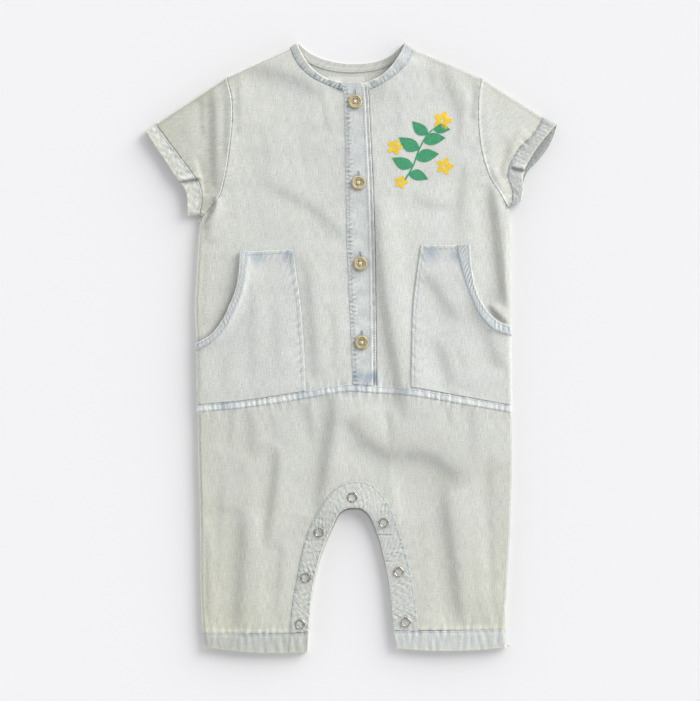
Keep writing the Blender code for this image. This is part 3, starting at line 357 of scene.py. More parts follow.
def curve(rows: object, spans: int = SPANS) -> Array:
    """Smooth plan line: a cubic between each two points, with slopes from the neighbours.

    Args:
        rows: points in millimetres.
        spans: steps from each point to the next.

    Returns:
        Points in metres.
    """
    points = np.array([tuple(row) for row in rows], float) * MM
    run = np.linalg.norm(np.diff(points, axis=0), axis=1)
    slopes = np.gradient(points, np.concatenate([[0], np.cumsum(run)]), axis=0)
    start, end = points[:-1, None], points[1:, None]
    leave, arrive = slopes[:-1, None] * run[:, None, None], slopes[1:, None] * run[:, None, None]
    t = np.linspace(0, 1, spans, endpoint=False)[None, :, None]
    held = start * (1 + 2 * t) * (1 - t) ** 2 + end * t**2 * (3 - 2 * t)
    bent = leave * t * (1 - t) ** 2 + arrive * t**2 * (t - 1)
    return np.vstack([(held + bent).reshape(-1, 2), points[-1:]])


def corner(row: tuple[float, ...], side: str) -> Array:
    """The west or the east point of a pair, in metres."""
    return np.array(row[:2] if side == "west" else row[2:]) * MM


def column(rows: object, side: str) -> Array:
    """Smooth line through the west or the east points of a table of pairs."""
    return curve([row[:2] if side == "west" else row[2:] for row in rows])


def chain(*paths: Array) -> Array:
    """One path that runs through the given ones in order."""
    return np.vstack(paths)


def run_length(path: Array) -> Array:
    """Length along the path up to each of its points."""
    return np.concatenate([[0], np.cumsum(np.linalg.norm(np.diff(path, axis=0), axis=1))])


def shares(path: Array) -> Array:
    """Share of the path's length up to each of its points."""
    run = run_length(path)
    return run / run[-1]


def at_fractions(path: Array, fractions: Array) -> Array:
    """Points at these fractions of the path's length."""
    own = shares(path)
    return np.stack([np.interp(fractions, own, path[:, axis]) for axis in range(path.shape[1])], axis=1)


def beside(path: Array, distance: Array | float) -> Array:
    """The path moved to its left by a distance, which may differ from point to point."""
    direction = np.gradient(path, axis=0)
    direction /= np.linalg.norm(direction, axis=1)[:, None]
    left = np.stack([-direction[:, 1], direction[:, 0]], axis=1)
    return path + left * np.broadcast_to(distance, len(path))[:, None]


def stations(path: Array, step: float, start: End = End.EDGE, end: End = End.EDGE) -> Array:
    """Points along a path a step apart, closer where it comes to an edge or a folded side.

    Args:
        path: the line to divide.
        step: distance between points away from the ends.
        start: what the line starts on.
        end: what it ends on.

    Returns:
        The points.
    """
    length = run_length(path)[-1]
    first, last = MARGINS[start], length - MARGINS[end][::-1]
    steps = max(1, round((last[0] - first[-1]) / step))
    reached = np.concatenate([first[:-1], np.linspace(first[-1], last[0], steps + 1), last[1:]])
    return at_fractions(path, reached / length)


def side_edge(side: str, low: float, high: float) -> Array:
    """The body's folded side, from one height to another."""
    edge = curve([(row.y, getattr(row, side)) for row in BODY_SIDES])[::-1]
    heights = np.linspace(low, high, 60)
    return np.stack([np.interp(heights, edge[:, 0], edge[:, 1]), heights], axis=1)


def side_x(side: str, height: float) -> float:
    """Where the body's folded side stands at a height."""
    return float(side_edge(side, height, 0.0)[0, 0])


def height_on(rows: object, x: Array | float) -> Array | float:
    """Height y of a line that runs west to east, at x."""
    path = curve(rows)
    return np.interp(x, path[:, 0], path[:, 1])


def stretch_of(rows: object, west: float, east: float, shift: float = 0.0) -> Array:
    """The part of a west to east line between two x, moved north by shift."""
    x = np.linspace(west, east, 60)
    return np.stack([x, height_on(rows, x) + shift], axis=1)


def placket_line(side: str, shift: float, low: float, high: float) -> Array:
    """A line that follows the placket's west or east edge, moved east by shift."""
    edge = curve([(row.y, getattr(row, side)) for row in PLACKET_SIDES])[::-1]
    heights = np.linspace(low, high, 80)
    return np.stack([np.interp(heights, edge[:, 0], edge[:, 1]) + shift, heights], axis=1)


def placket_foot(side: str, shift: float, above: float) -> float:
    """The lowest point of a line along the placket, a distance above the waist seam."""
    x = placket_line(side, shift, height_on(WAIST, PLACKET_FOOT), 0.0)[0, 0]
    return float(height_on(WAIST, x) + above)


def placket_seam(side: str) -> float:
    """How far east of the placket's edge the front on one side ends."""
    return PLACKET_SEAM if side == "west" else UNDER_PLACKET + GAP


def patch(low: Array, high: Array, left: Array, right: Array) -> Array:
    """Grid that fills four edges, blended straight between opposite ones.

    Args:
        low: the south edge, taken at the shares of the north one.
        high: the north edge.
        left: the first column.
        right: the last column, taken at the shares of the first.

    Returns:
        Plan points, rows from low to high.
    """
    low, right = at_fractions(low, shares(high)), at_fractions(right, shares(left))
    u = shares(high)[None, :, None]
    v = (shares(left) + shares(right))[:, None, None] / 2
    rows = (1 - v) * low[None] + v * high[None]
    columns = (1 - u) * left[:, None] + u * right[:, None]
    corners = (1 - v) * ((1 - u) * low[0] + u * low[-1]) + v * ((1 - u) * high[0] + u * high[-1])
    return rows + columns - corners


def band(first: Array, last: Array, step: float = TRIM_STEP, start: End = End.EDGE, end: End = End.EDGE) -> Array:
    """Grid ruled straight from the points of one row to those of another, closer at both.

    Args:
        first: the first row.
        last: the last row, with as many points.
        step: distance between rows.
        start: what the first row is.
        end: what the last row is.

    Returns:
        Plan points.
    """
    width = np.linalg.norm(last - first, axis=1).mean()
    across = shares(stations(np.array([[0.0, 0.0], [width, 0.0]]), step, start, end))[:, None, None]
    return (1 - across) * first[None] + across * last[None]


def nearest(points: Array, path: Array, within: float = 0.0) -> tuple[Array, Array, Array]:
    """Where each plan point lies against a path, from its foot on the closest of the path's steps.

    Args:
        points: plan points.
        path: the line.
        within: how near counts as on it.

    Returns:
        Distance, length along the path, and the unit way to it, or out over it where the point is on it.
    """
    start, step = path[:-1], np.diff(path, axis=0)
    length = np.maximum(np.linalg.norm(step, axis=1), 1e-9)
    offset = points[:, None] - start[None]
    share = np.clip((offset * step).sum(2) / length**2, 0, 1)
    away = share[:, :, None] * step - offset
    distance = np.linalg.norm(away, axis=2)
    closest = distance.argmin(1)
    rows = np.arange(len(points))
    found = distance[rows, closest]
    reached = run_length(path)[closest] + share[rows, closest] * length[closest]
    outside = np.stack([step[closest, 1], -step[closest, 0]], axis=1) / length[closest, None]
    on_path = found <= within
    way = np.where(on_path[:, None], outside, away[rows, closest] / np.maximum(found, 1e-9)[:, None])
    return np.where(on_path, 0.0, found), reached, way


def folded_edges() -> tuple[Array, ...]:
    """The paths along which front and back are one cloth, run anticlockwise round the garment."""
    tops, bottoms = {}, {}
    for side in ("west", "east"):
        over = (NECK_TIPS, SHOULDERS, ARMHOLES[0], CUFF_SEAMS[0], CUFF_EDGES[0])
        under = [corner(rows[-1], side) for rows in (CUFF_EDGES, CUFF_SEAMS, ARMHOLES)]
        past_hem = (BODY_SIDES[-1].y - 4) * MM
        tops[side] = np.array([corner(row, side) for row in over])
        bottoms[side] = chain(under, side_edge(side, under[-1][1] - MM, past_hem))
    return tops["west"], bottoms["west"], tops["east"][::-1], bottoms["east"][::-1]


FOLDED = folded_edges()
NECK_LINE = chain(column(NECK_EDGES, "west"), column(NECK_EDGES, "east")[::-1])
ARCH = curve(INSIDE_LEGS)


def to_fold(points: Array) -> tuple[Array, Array]:
    """Distance of each plan point to the nearest folded side, and the unit way out over it."""
    found = [nearest(points, path, ON_FOLD) for path in FOLDED]
    distance = np.stack([each[0] for each in found])
    way = np.stack([each[2] for each in found])
    which, rows = distance.argmin(0), np.arange(len(points))
    return distance[which, rows], way[which, rows]


def ripple(along: Array, across: Array, period: float, seed: int, waves: int = 6, tilt: float = 0.35) -> Array:
    """Uneven waves: a sum of sines near one period, each a little tilted, from about -1 to 1.

    Args:
        along: distance along the waves' run.
        across: distance across it.
        period: usual length of a wave.
        seed: fixes the waves.
        waves: how many sines.
        tilt: largest slant of a wave against across.

    Returns:
        The height at each point.
    """
    draw = np.random.default_rng(seed)
    total = np.zeros(np.shape(along))
    for _ in range(waves):
        own = period * draw.uniform(0.6, 1.6)
        total += np.sin(2 * math.pi * ((along + draw.uniform(-tilt, tilt) * across) / own + draw.uniform()))
    return total / math.sqrt(waves / 2) / 1.4


def undulation(points: Array, seed: int, low: float, high: float, waves: int = 16) -> Array:
    """Slow unevenness of laid cloth: a sum of plane sines in all directions, mostly along the garment.

    Args:
        points: plan points.
        seed: fixes the waves.
        low: shortest wave.
        high: longest wave.
        waves: how many.

    Returns:
        A height from about -1 to 1.
    """
    draw = np.random.default_rng(seed)
    total = np.zeros(len(points))
    for _ in range(waves):
        length, turn = draw.uniform(low, high), draw.normal(0.0, 0.6)
        way = np.array([math.cos(turn), math.sin(turn)])
        total += np.sin(2 * math.pi * (points @ way / length + draw.uniform()))
    return total / math.sqrt(waves)


@dataclass(frozen=True)
class Gather:
    """Short puckers that a row of stitching draws into the cloth beside it."""

    path: Array
    reach: float
    period: float
    height: float
    # for a gather, the wear: how much its puckers' ridges rub white and their hollows stay blue
    dye_and_painted_shade: float
    seed: int

    def at(self, points: Array) -> Array:
        """Pucker height: waves along the seam that die out away from it.

        Args:
            points: plan points.

        Returns:
            Height from -1 to 1, to be scaled.
        """
        value = np.zeros(len(points))
        low, high = self.path.min(0) - 4 * self.reach, self.path.max(0) + 4 * self.reach
        near = ((points > low) & (points < high)).all(1)
        if near.any():
            distance, along, _ = nearest(points[near], self.path)
            value[near] = ripple(along, distance, self.period, self.seed) * np.exp(-distance / self.reach)
        return value


def gathers() -> tuple[Gather, ...]:
    """The stitched seams of the front that pucker the cloth beside them."""
    waist = stretch_of(WAIST, WAIST_ENDS["west"], WAIST_ENDS["east"])
    hem_west, hem_east = (curve(HEM_SEAMS[side], 10) for side in ("west", "east"))
    found = [
        Gather(waist, 7 * MM, 7.5 * MM, 0.4 * MM, 0.35, 11),
        Gather(hem_west, 6 * MM, 8 * MM, 0.3 * MM, 0.2, 12),
        Gather(hem_east, 6 * MM, 8 * MM, 0.3 * MM, 0.2, 13),
        Gather(curve(FACING_SEAM, 6), 4 * MM, 9 * MM, 0.14 * MM, 0.05, 14),
        Gather(placket_line("west", 0.0, -0.04, 0.24)[::4], 4 * MM, 11 * MM, 0.12 * MM, 0.0, 15),
        Gather(placket_line("east", UNDER_PLACKET, -0.04, 0.24)[::4], 3 * MM, 12 * MM, 0.1 * MM, 0.0, 16),
    ]
    for seed, side in enumerate(("west", "east"), 17):
        found.append(Gather(column(ARMHOLES, side)[::6], 4 * MM, 7 * MM, 0.12 * MM, 0.12, seed))
        found.append(Gather(column(NECK_SEAMS, side)[::6], 4 * MM, 7 * MM, 0.12 * MM, 0.1, seed + 4))
        found.append(Gather(column(CUFF_SEAMS, side)[::6], 4 * MM, 7 * MM, 0.15 * MM, 0.1, seed + 8))
        found.append(Gather(curve(POCKET_INNER[side], 6), 3 * MM, 8 * MM, 0.06 * MM, 0.0, seed + 12))
    return tuple(found)


GATHERS = gathers()


def bent_line(crease: Crease) -> Array:
    """The line of a fold: a parabola through its three points."""
    t = np.linspace(0, 1, 12)[:, None]
    ends = np.array(crease[:6]).reshape(3, 2) * MM
    handle = 2 * ends[1] - (ends[0] + ends[2]) / 2
    return ends[0] * (1 - t) ** 2 + 2 * handle * t * (1 - t) + ends[2] * t**2


def crease_height(points: Array, table: tuple[Crease, ...]) -> tuple[Array, Array]:
    """Height of a table of folds, which die out softly at both ends, and the painted shade along them.

    Across a fold the height is tanh(u / 0.6) x exp(-(u / 2.4)^2), u being the distance to its left over its
    width, scaled so that it rises by the fold's height from dip to swell: steep in its middle, slow outside.

    Args:
        points: plan points.
        table: the folds.

    Returns:
        Height in metres, and painted shade from 0 up, more the steeper the fold.
    """
    total, dye_and_painted_shade = np.zeros(len(points)), np.zeros(len(points))
    for crease in table:
        path = bent_line(crease)
        reach = 5 * crease.width * MM
        near = ((points > path.min(0) - reach) & (points < path.max(0) + reach)).all(1)
        if not near.any():
            continue
        distance, along, way = nearest(points[near], path)
        share = along / run_length(path)[-1]
        run = path[-1] - path[0]
        across = np.sign(run[1] * way[:, 0] - run[0] * way[:, 1]) * distance / (crease.width * MM)
        swell = 0.644 * np.tanh(across / 0.6) * np.exp(-((across / 2.4) ** 2))
        window = crease.height * (1 - (2 * share - 1) ** 4)
        total[near] += MM * window * swell
        dye_and_painted_shade[near] += abs(window) / crease.width * np.exp(-((1.3 * across) ** 2))
    return total, dye_and_painted_shade


def risen(distance: Array, width: float) -> Array:
    """A soft step from 0 at no distance to 1 at width."""
    share = np.clip(distance / width, 0, 1)
    return share**2 * (3 - 2 * share)


def front_relief(points: Array, from_fold: Array) -> tuple[Array, Array]:
    """Height that folds, puckers and open edges add to the front's flat top.

    Args:
        points: plan points.
        from_fold: their distance to the folded side.

    Returns:
        Height in metres, and the painted shade in the folds.
    """
    total, dye_and_painted_shade = crease_height(points, CREASES)
    total += 0.22 * MM * undulation(points, 3, 22 * MM, 60 * MM)
    total += 0.05 * MM * undulation(points, 4, 7 * MM, 16 * MM)
    limit = np.where(total > 0, FOLD_LIMITS[1], -FOLD_LIMITS[0])
    total = limit * np.tanh(total / limit)
    near_arch = np.exp(-((nearest(points, ARCH[::8])[0] / DROP_REACH) ** 2))
    near_neck = np.exp(-((nearest(points, NECK_LINE[::8])[0] / DROP_REACH) ** 2))
    eastward = np.clip((points[:, 0] - 12 * MM) / (20 * MM), 0, 1)
    arch_edge = ARCH_DROP * (1 - 1.6 * bell(points[:, 1], ARCH[ARCH_TOP, 1], 16 * MM))
    neck_edge = NECK_DROP * ((1 + NECK_LIFT) * eastward - 1) * risen(from_fold, 18 * MM)
    total = total * (1 - near_arch) - arch_edge * near_arch + neck_edge * near_neck
    total += sum(gather.height * gather.at(points) for gather in GATHERS)
    return total * risen(from_fold, RELIEF_IN), dye_and_painted_shade


def back_relief(points: Array, from_fold: Array) -> tuple[Array, Array]:
    """How far the back stands off the floor in its folds, always upwards.

    Args:
        points: plan points.
        from_fold: their distance to the folded side.

    Returns:
        Height in metres, taken as a recess of the back's outer face, and the painted shade in the folds.
    """
    rest = 0.12 * MM * (1 + undulation(points, 5, 24 * MM, 60 * MM))
    folds, dye_and_painted_shade = crease_height(points, BACK_CREASES)
    total = np.clip(2 * folds + rest, 0.0, 1.1 * MM)
    return total * risen(from_fold, RELIEF_IN), dye_and_painted_shade


@dataclass
class Laid:
    """Plan points laid on one face: where they are, which way is out, how level they are, and how light their painted
    shade leaves them.
    """

    flat: Array
    out: Array
    level: Array
    light: Array

    def at(self, lift: Array | float) -> Array:
        """The points moved out by lift."""
        return self.flat + self.out * np.broadcast_to(lift, self.level.shape)[..., None]


def lay(grid: Array, face: Face, ring: bool = False) -> Laid:
    """Lays plan points on the front, whose top turns down to the folded side, or on the back, which turns up.

    Across the fold the height follows a quarter circle. The way out is the circle's radius, leant by the
    slope of the relief, which is worked out from the height steps along the grid's two directions.

    Args:
        grid: plan points, rows x columns x 2.
        face: front or back.
        ring: the first and last columns lie on the fold itself and close a tube.

    Returns:
        The laid points.
    """
    shape = grid.shape[:2]
    distance, out = to_fold(grid.reshape(-1, 2))
    distance, out = distance.reshape(shape), out.reshape(*shape, 2)
    if ring:
        distance[:, [0, -1]] = 0.0
    cosine = np.clip(1 - distance / ROLL, 0, 1)
    sine = np.sqrt(1 - cosine**2)
    split = 0.0 if ring else GAP / 3
    rise = FRONT_TOP - SIDE_SEAM if face is Face.FRONT else SIDE_SEAM
    relief = front_relief if face is Face.FRONT else back_relief
    added, dye_and_painted_shade = (each.reshape(shape) for each in relief(grid.reshape(-1, 2), distance.reshape(-1)))
    height = SIDE_SEAM + face.value * (split + (rise - split) * sine) + added * sine
    (x_v, x_u), (y_v, y_u), (h_v, h_u) = (np.gradient(each) for each in (grid[..., 0], grid[..., 1], added))
    cell = x_u * y_v - x_v * y_u
    cell = np.where(abs(cell) < 1e-12, 1e-12, cell)
    slope = np.stack([(h_u * y_v - h_v * y_u) / cell, (x_u * h_v - x_v * h_u) / cell], axis=-1)
    slope = np.clip(slope, -0.6, 0.6) * sine[..., None]
    way = np.dstack([out * cosine[..., None] - face.value * slope, face.value * sine])
    way /= np.linalg.norm(way, axis=2)[..., None]
    # painted shade: darker on the folded edges that face the light and along steep folds
    kept = EDGE_PAINTED_SHADE * bell(distance, 0.0, EDGE_REACH) * np.clip(out @ SUNNY_WAY, 0, 1)
    kept += FOLD_PAINTED_SHADE * np.minimum(dye_and_painted_shade, 2)
    return Laid(np.dstack([grid, height]), way, sine, 1 - kept)


@dataclass
class Patch:
    """One grid of a shell with what its two surfaces and its colours do there."""

    grid: Array
    face: Face
    outer: Array | float = 0.0
    inner: float = -CLOTH
    fade: Array | float = 0.0
    warm: Array | float = 0.0
    shade: Array | float = 1.0
    grain: Array | None = None

    def flipped(self) -> Patch:
        """The patch with its columns in the other order."""
        turn = {name: getattr(self, name) for name in ("outer", "fade", "warm", "shade")}
        turn = {name: np.broadcast_to(value, self.grid.shape[:2])[:, ::-1] for name, value in turn.items()}
        grain = None if self.grain is None else self.grain[:, ::-1]
        return replace(self, grid=self.grid[:, ::-1], grain=grain, **turn)

    def towards(self, side: str) -> Patch:
        """The patch as it is on the west, or turned round on the east, so that its columns run east."""
        return self if side == "west" else self.flipped()


def margins(grid: Array) -> tuple[Array, Array, Array, Array]:
    """Distance of each grid point along the grid to its first and last column, and first and last row."""
    across = np.linalg.norm(np.diff(grid, axis=1), axis=2)
    up = np.linalg.norm(np.diff(grid, axis=0), axis=2)
    from_west = np.pad(np.cumsum(across, axis=1), ((0, 0), (1, 0)))
    from_south = np.pad(np.cumsum(up, axis=0), ((1, 0), (0, 0)))
    return from_west, from_west[:, -1:] - from_west, from_south, from_south[-1:] - from_south


def rounded(distance: Array, radius: float) -> Array:
    """How far a rounded edge has sunk, from 1 on the edge to 0 a radius in: a quarter circle."""
    return 1 - np.sqrt(1 - np.clip(1 - distance / radius, 0, 1) ** 2)


def bell(distance: Array, middle: float, width: float) -> Array:
    """A soft ridge: a bell of the given half width round a distance."""
    return np.exp(-(((distance - middle) / width) ** 2))


@dataclass
class Shell:
    """A closed thin piece of cloth and the skin on which stitches and buttons sit."""

    points: Array
    faces: Array
    count: int
    object: bpy.types.Object

    def skin(self) -> BVHTree:
        """Its outer surface as a search tree."""
        outer = self.faces[(self.faces < self.count).all(1)]
        return BVHTree.FromPolygons(self.points[: self.count].tolist(), outer.tolist())


def grid_faces(shape: tuple[int, int], first: int, reverse: bool) -> Array:
    """Squares between the neighbours of a grid.

    Args:
        shape: rows and columns.
        first: number of the grid's first point.
        reverse: whether the squares face the other way.

    Returns:
        Four point numbers a square.
    """
    index = first + np.arange(shape[0] * shape[1]).reshape(shape)
    squares = np.stack([index[:-1, :-1], index[:-1, 1:], index[1:, 1:], index[1:, :-1]], axis=-1).reshape(-1, 4)
    return squares[:, ::-1] if reverse else squares


def rim_faces(faces: Array, count: int) -> Array:
    """Squares that close two matching surfaces: one on each side that only one square has.

    Args:
        faces: the outer surface's squares.
        count: number of outer points, to which the inner ones are added.

    Returns:
        The rim's squares.
    """
    sides = np.concatenate([faces[:, pair] for pair in ([0, 1], [1, 2], [2, 3], [3, 0])])
    ahead = sides[:, 0] * count + sides[:, 1]
    a, b = sides[~np.isin(sides[:, 1] * count + sides[:, 0], ahead)].T
    return np.stack([b, a, a + count, b + count], axis=1)


def mesh_of(name: str, points: Array, faces: Array, sharp: float = 50.0) -> bpy.types.Mesh:
    """A mesh of squares or triangles from whole arrays, shaded smooth but for sharp turns.

    Args:
        name: the mesh's name.
        points: its points.
        faces: its faces, three or four point numbers each.
        sharp: turns above this many degrees stay sharp.

    Returns:
        The mesh.
    """
    mesh = bpy.data.meshes.new(name)
    size = faces.shape[1]
    mesh.vertices.add(len(points))
    mesh.vertices.foreach_set("co", points.astype(np.float32).ravel())
    mesh.loops.add(faces.size)
    mesh.loops.foreach_set("vertex_index", faces.astype(np.int32).ravel())
    mesh.polygons.add(len(faces))
    mesh.polygons.foreach_set("loop_start", np.arange(len(faces), dtype=np.int32) * size)
    mesh.update(calc_edges=True)
    mesh.validate()
    mesh.shade_smooth()
    mesh.set_sharp_from_angle(angle=math.radians(sharp))
    return mesh


def add_piece(name: str, mesh: bpy.types.Mesh, finish: bpy.types.Material, slot: str, *nodes: str) -> bpy.types.Object:
    """Puts a mesh in the scene as a piece of the garment.

    Args:
        name: the piece's name.
        mesh: its mesh, in place.
        finish: its material.
        slot: not used.
        nodes: the solids that it stands for.

    Returns:
        The object.
    """
    obj = bpy.data.objects.new(name, mesh)
    bpy.context.scene.collection.objects.link(obj)
    mesh.materials.append(finish)
    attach(obj, "root")
    if nodes:
        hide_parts(*nodes)
    log.info("%s: %d faces", name, len(mesh.polygons))
    return obj


def sew(node: str, patches: list[Patch], finish: bpy.types.Material, slot: str, ring: bool = False) -> Shell:
    """Makes a closed shell from patches: an outer and an inner surface, joined round the open edges.

    Args:
        node: the solid it stands for, which also names the piece.
        patches: its grids, which share points where they meet.
        finish: its material.
        slot: handed on to add_piece, which does not use it.
        ring: whether its ends lie on the fold and close a tube.

    Returns:
        The shell.
    """
    keys, outer, inner, grain, faces = [], [], [], [], []
    looks = {"fade": [], "warm": [], "shade": []}
    first = 0
    for each in patches:
        laid = lay(each.grid, each.face, ring)
        shape = each.grid.shape[:2]
        keys.append(laid.flat.reshape(-1, 3))
        outer.append(laid.at(each.outer).reshape(-1, 3))
        inner.append(laid.at(each.inner).reshape(-1, 3))
        for name, values in looks.items():
            value = getattr(each, name) * (laid.light if name == "shade" else 1.0)
            values.append(np.broadcast_to(value, shape).ravel())
        grain.append((each.grid if each.grain is None else each.grain).reshape(-1, 2))
        faces.append(grid_faces(shape, first, each.face is Face.BACK))
        first += shape[0] * shape[1]
    _, kept, index = np.unique(np.round(np.vstack(keys) / MM, 4), axis=0, return_index=True, return_inverse=True)
    squares = index.reshape(-1)[np.vstack(faces)]
    count = len(kept)
    points = np.vstack([np.vstack(outer)[kept], np.vstack(inner)[kept]])
    whole = np.vstack([squares, squares[:, ::-1] + count, rim_faces(squares, count)])
    mesh = mesh_of(f"cloth_{node}", points, whole)
    looks = {name: np.concatenate(values)[kept] for name, values in looks.items()}
    # per-piece wash tone, with painted light and shade
    looks["shade"] *= WASH_TONE_AND_PAINTED_SHADE.get(node, 1.0)
    for name, values in looks.items():
        attribute = mesh.attributes.new(name, "FLOAT", "POINT")
        attribute.data.foreach_set("value", np.tile(values, 2).astype(np.float32))
    layer = mesh.uv_layers.new(name="grain")
    corners = np.empty(len(mesh.loops), np.int32)
    mesh.loops.foreach_get("vertex_index", corners)
    layer.data.foreach_set("uv", np.tile(np.vstack(grain)[kept], (2, 1))[corners].astype(np.float32).ravel())
    obj = add_piece(f"cloth_{node}", mesh, finish, slot, node)
    return Shell(points, whole, count, obj)


def plan_area(patches: list[Patch]) -> float:
    """Flat area of a cut: the sum of the grids' squares in plan, by the cross product of their diagonals."""
    total = 0.0
    for each in patches:
        one, two = each.grid[1:, 1:] - each.grid[:-1, :-1], each.grid[1:, :-1] - each.grid[:-1, 1:]
        total += float(abs(one[..., 0] * two[..., 1] - one[..., 1] * two[..., 0]).sum() / 2)
    return total


def declare(shell: Shell, patches: list[Patch], rests_on: list[str], *sewn_on: bpy.types.Object, tube: bool = False) -> None:
    """Works out the flat box and the area of a shell's cut, and does nothing with them.

    Args:
        shell: not used.
        patches: the grids of its cut.
        rests_on: not used.
        sewn_on: not used.
        tube: its front and back are one cloth, so that the cut is twice as long round it.
    """
    points = np.vstack([each.grid.reshape(-1, 2) for each in patches])
    width, length = np.round(points.max(0) - points.min(0), 4).tolist()
    flat = (width, length * 2) if tube else (width, length)
    area = min(round(plan_area(patches), 6), 0.999 * flat[0] * flat[1])


# Finishes.


def linear(colour: str) -> tuple[float, float, float, float]:
    """Linear RGBA of an sRGB hex colour."""
    channels = [int(colour[at : at + 2], 16) / 255 for at in (1, 3, 5)]
    red, green, blue = (c / 12.92 if c <= 0.04045 else ((c + 0.055) / 1.055) ** 2.4 for c in channels)
    return red, green, blue, 1.0


def add_node(tree: bpy.types.NodeTree, kind: str, settings: dict | None = None, **links: object) -> bpy.types.Node:
    """Adds a node with its settings and its links.

    Args:
        tree: the material's nodes.
        kind: the node's type.
        settings: values by property name, or by input name or number.
        links: outputs by input name, with _ for a space, or by in_ and a number.

    Returns:
        The node.
    """
    node = tree.nodes.new(kind)
    for name, value in (settings or {}).items():
        if isinstance(name, int) or name in node.inputs:
            node.inputs[name].default_value = value
        else:
            setattr(node, name, value)
    for name, output in links.items():
        entry = int(name[3:]) if name.startswith("in_") else name.replace("_", " ")
        tree.links.new(output, node.inputs[entry])
    return node


def mix(tree: bpy.types.NodeTree, share: object, first: object, second: object, blend: str = "MIX") -> object:
    """Mixes two colours, each an output or a hex colour, and returns the output.

    Args:
        tree: the material's nodes.
        share: share of the second, an output or a number.
        first: the first colour.
        second: the second colour.
        blend: the way of mixing.

    Returns:
        The mixed colour's output.
    """
    node = add_node(tree, "ShaderNodeMix", {"data_type": "RGBA", "blend_type": blend})
    for entry, value in ((0, share), (6, first), (7, second)):
        if isinstance(value, bpy.types.NodeSocket):
            tree.links.new(value, node.inputs[entry])
        else:
            node.inputs[entry].default_value = linear(value) if isinstance(value, str) else value
    return node.outputs[2]


@dataclass(frozen=True)
class Denim:
    """Stone-washed cotton denim, bleached nearly white, garment-dyed a little cream.

    Ring-spun slub yarn gives it faint dark and light streaks along the warp. Rubbed seams go white on
    their ridges, and indigo stays in the hollows between.
    """

    name: str
    cloth: str
    cream: str = "#CFCEB7"
    indigo: str = "#8FA0AE"
    bleached: str = "#F3F4F0"
    slub_width: float = 0.55 * MM  # one yarn
    slub_length: float = 10.0 * MM
    grain: float = 1.5 * MM  # length of a warp float, 0.5 mm in the cloth, drawn coarser so that it shows
    blotch: float = 34.0 * MM
    contrast: float = 0.25
    nap: float = 0.12 * MM
    lean: float = 0.0  # turn of the weave against the grain map

    def material(self) -> bpy.types.Material:
        """Builds the cloth: cream and blotches, then fade at the seams, then the yarns times the painted shade and
        light of the shade attribute, with a yarn bump.
        """
        material = bpy.data.materials.new(self.name)
        material.use_nodes = True
        tree = material.node_tree
        shader = tree.nodes["Principled BSDF"]
        grain = add_node(tree, "ShaderNodeUVMap", {"uv_map": "grain"}).outputs["UV"]
        turned = add_node(tree, "ShaderNodeMapping", {"Rotation": (0, 0, self.lean)}, Vector=grain).outputs[0]
        slub = self.noise(tree, turned, self.slub_width, self.slub_length, 3.0)
        floats = self.noise(tree, turned, self.slub_width, self.grain, 1.0)
        blotch = self.noise(tree, turned, self.blotch, self.blotch, 2.0)
        speckle = self.noise(tree, turned, 2.2 * MM, 2.2 * MM, 1.0)
        fade = add_node(tree, "ShaderNodeAttribute", {"attribute_name": "fade"}).outputs["Fac"]
        warm = add_node(tree, "ShaderNodeAttribute", {"attribute_name": "warm"}).outputs["Fac"]
        shade = add_node(tree, "ShaderNodeAttribute", {"attribute_name": "shade"}).outputs["Fac"]
        warmth = self.map(tree, self.sum(tree, warm, blotch, 0.5, -0.25), 0.0, 1.0, 0.0, 1.0)
        worn = self.sum(tree, fade, speckle, 0.3, -0.15)
        colour = mix(tree, warmth, self.cloth, self.cream)
        colour = mix(tree, self.map(tree, worn, 0.0, -1.0, 0.0, 1.0), colour, self.indigo)
        colour = mix(tree, self.map(tree, worn, 0.0, 1.0, 0.0, 1.0), colour, self.bleached)
        yarn = self.sum(tree, slub, floats, 0.9, -0.3)
        tone = self.map(tree, yarn, 0.3, 1.0, 1.0 - self.contrast, 1.0 + self.contrast)
        # the shade attribute holds painted shade and painted light, and darkens or lightens the colour
        shaded = add_node(tree, "ShaderNodeMath", {"operation": "MULTIPLY"}, in_0=tone, in_1=shade).outputs[0]
        colour = mix(tree, 1.0, colour, self.grey(tree, shaded), "MULTIPLY")
        bump = add_node(tree, "ShaderNodeBump", {"Strength": 0.55, "Distance": self.nap}, Height=yarn)
        tree.links.new(colour, shader.inputs["Base Color"])
        tree.links.new(bump.outputs[0], shader.inputs["Normal"])
        shader.inputs["Roughness"].default_value = 0.92
        shader.inputs["Specular IOR Level"].default_value = 0.25
        shader.inputs["Sheen Weight"].default_value = 0.08
        return material

    def noise(self, tree: bpy.types.NodeTree, vector: object, across: float, along: float, detail: float) -> object:
        """Noise whose features are across wide and along long, as an output from 0 to 1."""
        scaled = add_node(tree, "ShaderNodeMapping", {"Scale": (1 / across, 1 / along, 1.0)}, Vector=vector)
        settings = {"Scale": 1.0, "Detail": detail, "Roughness": 0.55}
        return add_node(tree, "ShaderNodeTexNoise", settings, Vector=scaled.outputs[0]).outputs[0]

    def sum(self, tree: bpy.types.NodeTree, first: object, second: object, factor: float, shift: float) -> object:
        """first + second x factor + shift, as an output."""
        scaled = add_node(tree, "ShaderNodeMath", {"operation": "MULTIPLY_ADD", 1: factor, 2: shift}, in_0=second)
        return add_node(tree, "ShaderNodeMath", {"operation": "ADD"}, in_0=first, in_1=scaled.outputs[0]).outputs[0]

    def map(self, tree: bpy.types.NodeTree, value: object, low: float, high: float, to_low: float, to_high: float) -> object:
        """A value stretched from one range to another and held inside it, as an output."""
        settings = {"From Min": low, "From Max": high, "To Min": to_low, "To Max": to_high, "clamp": True}
        return add_node(tree, "ShaderNodeMapRange", settings, Value=value).outputs[0]

    def grey(self, tree: bpy.types.NodeTree, value: object) -> object:
        """A number as a grey colour."""
        return add_node(tree, "ShaderNodeCombineColor", None, in_0=value, in_1=value, in_2=value).outputs[0]


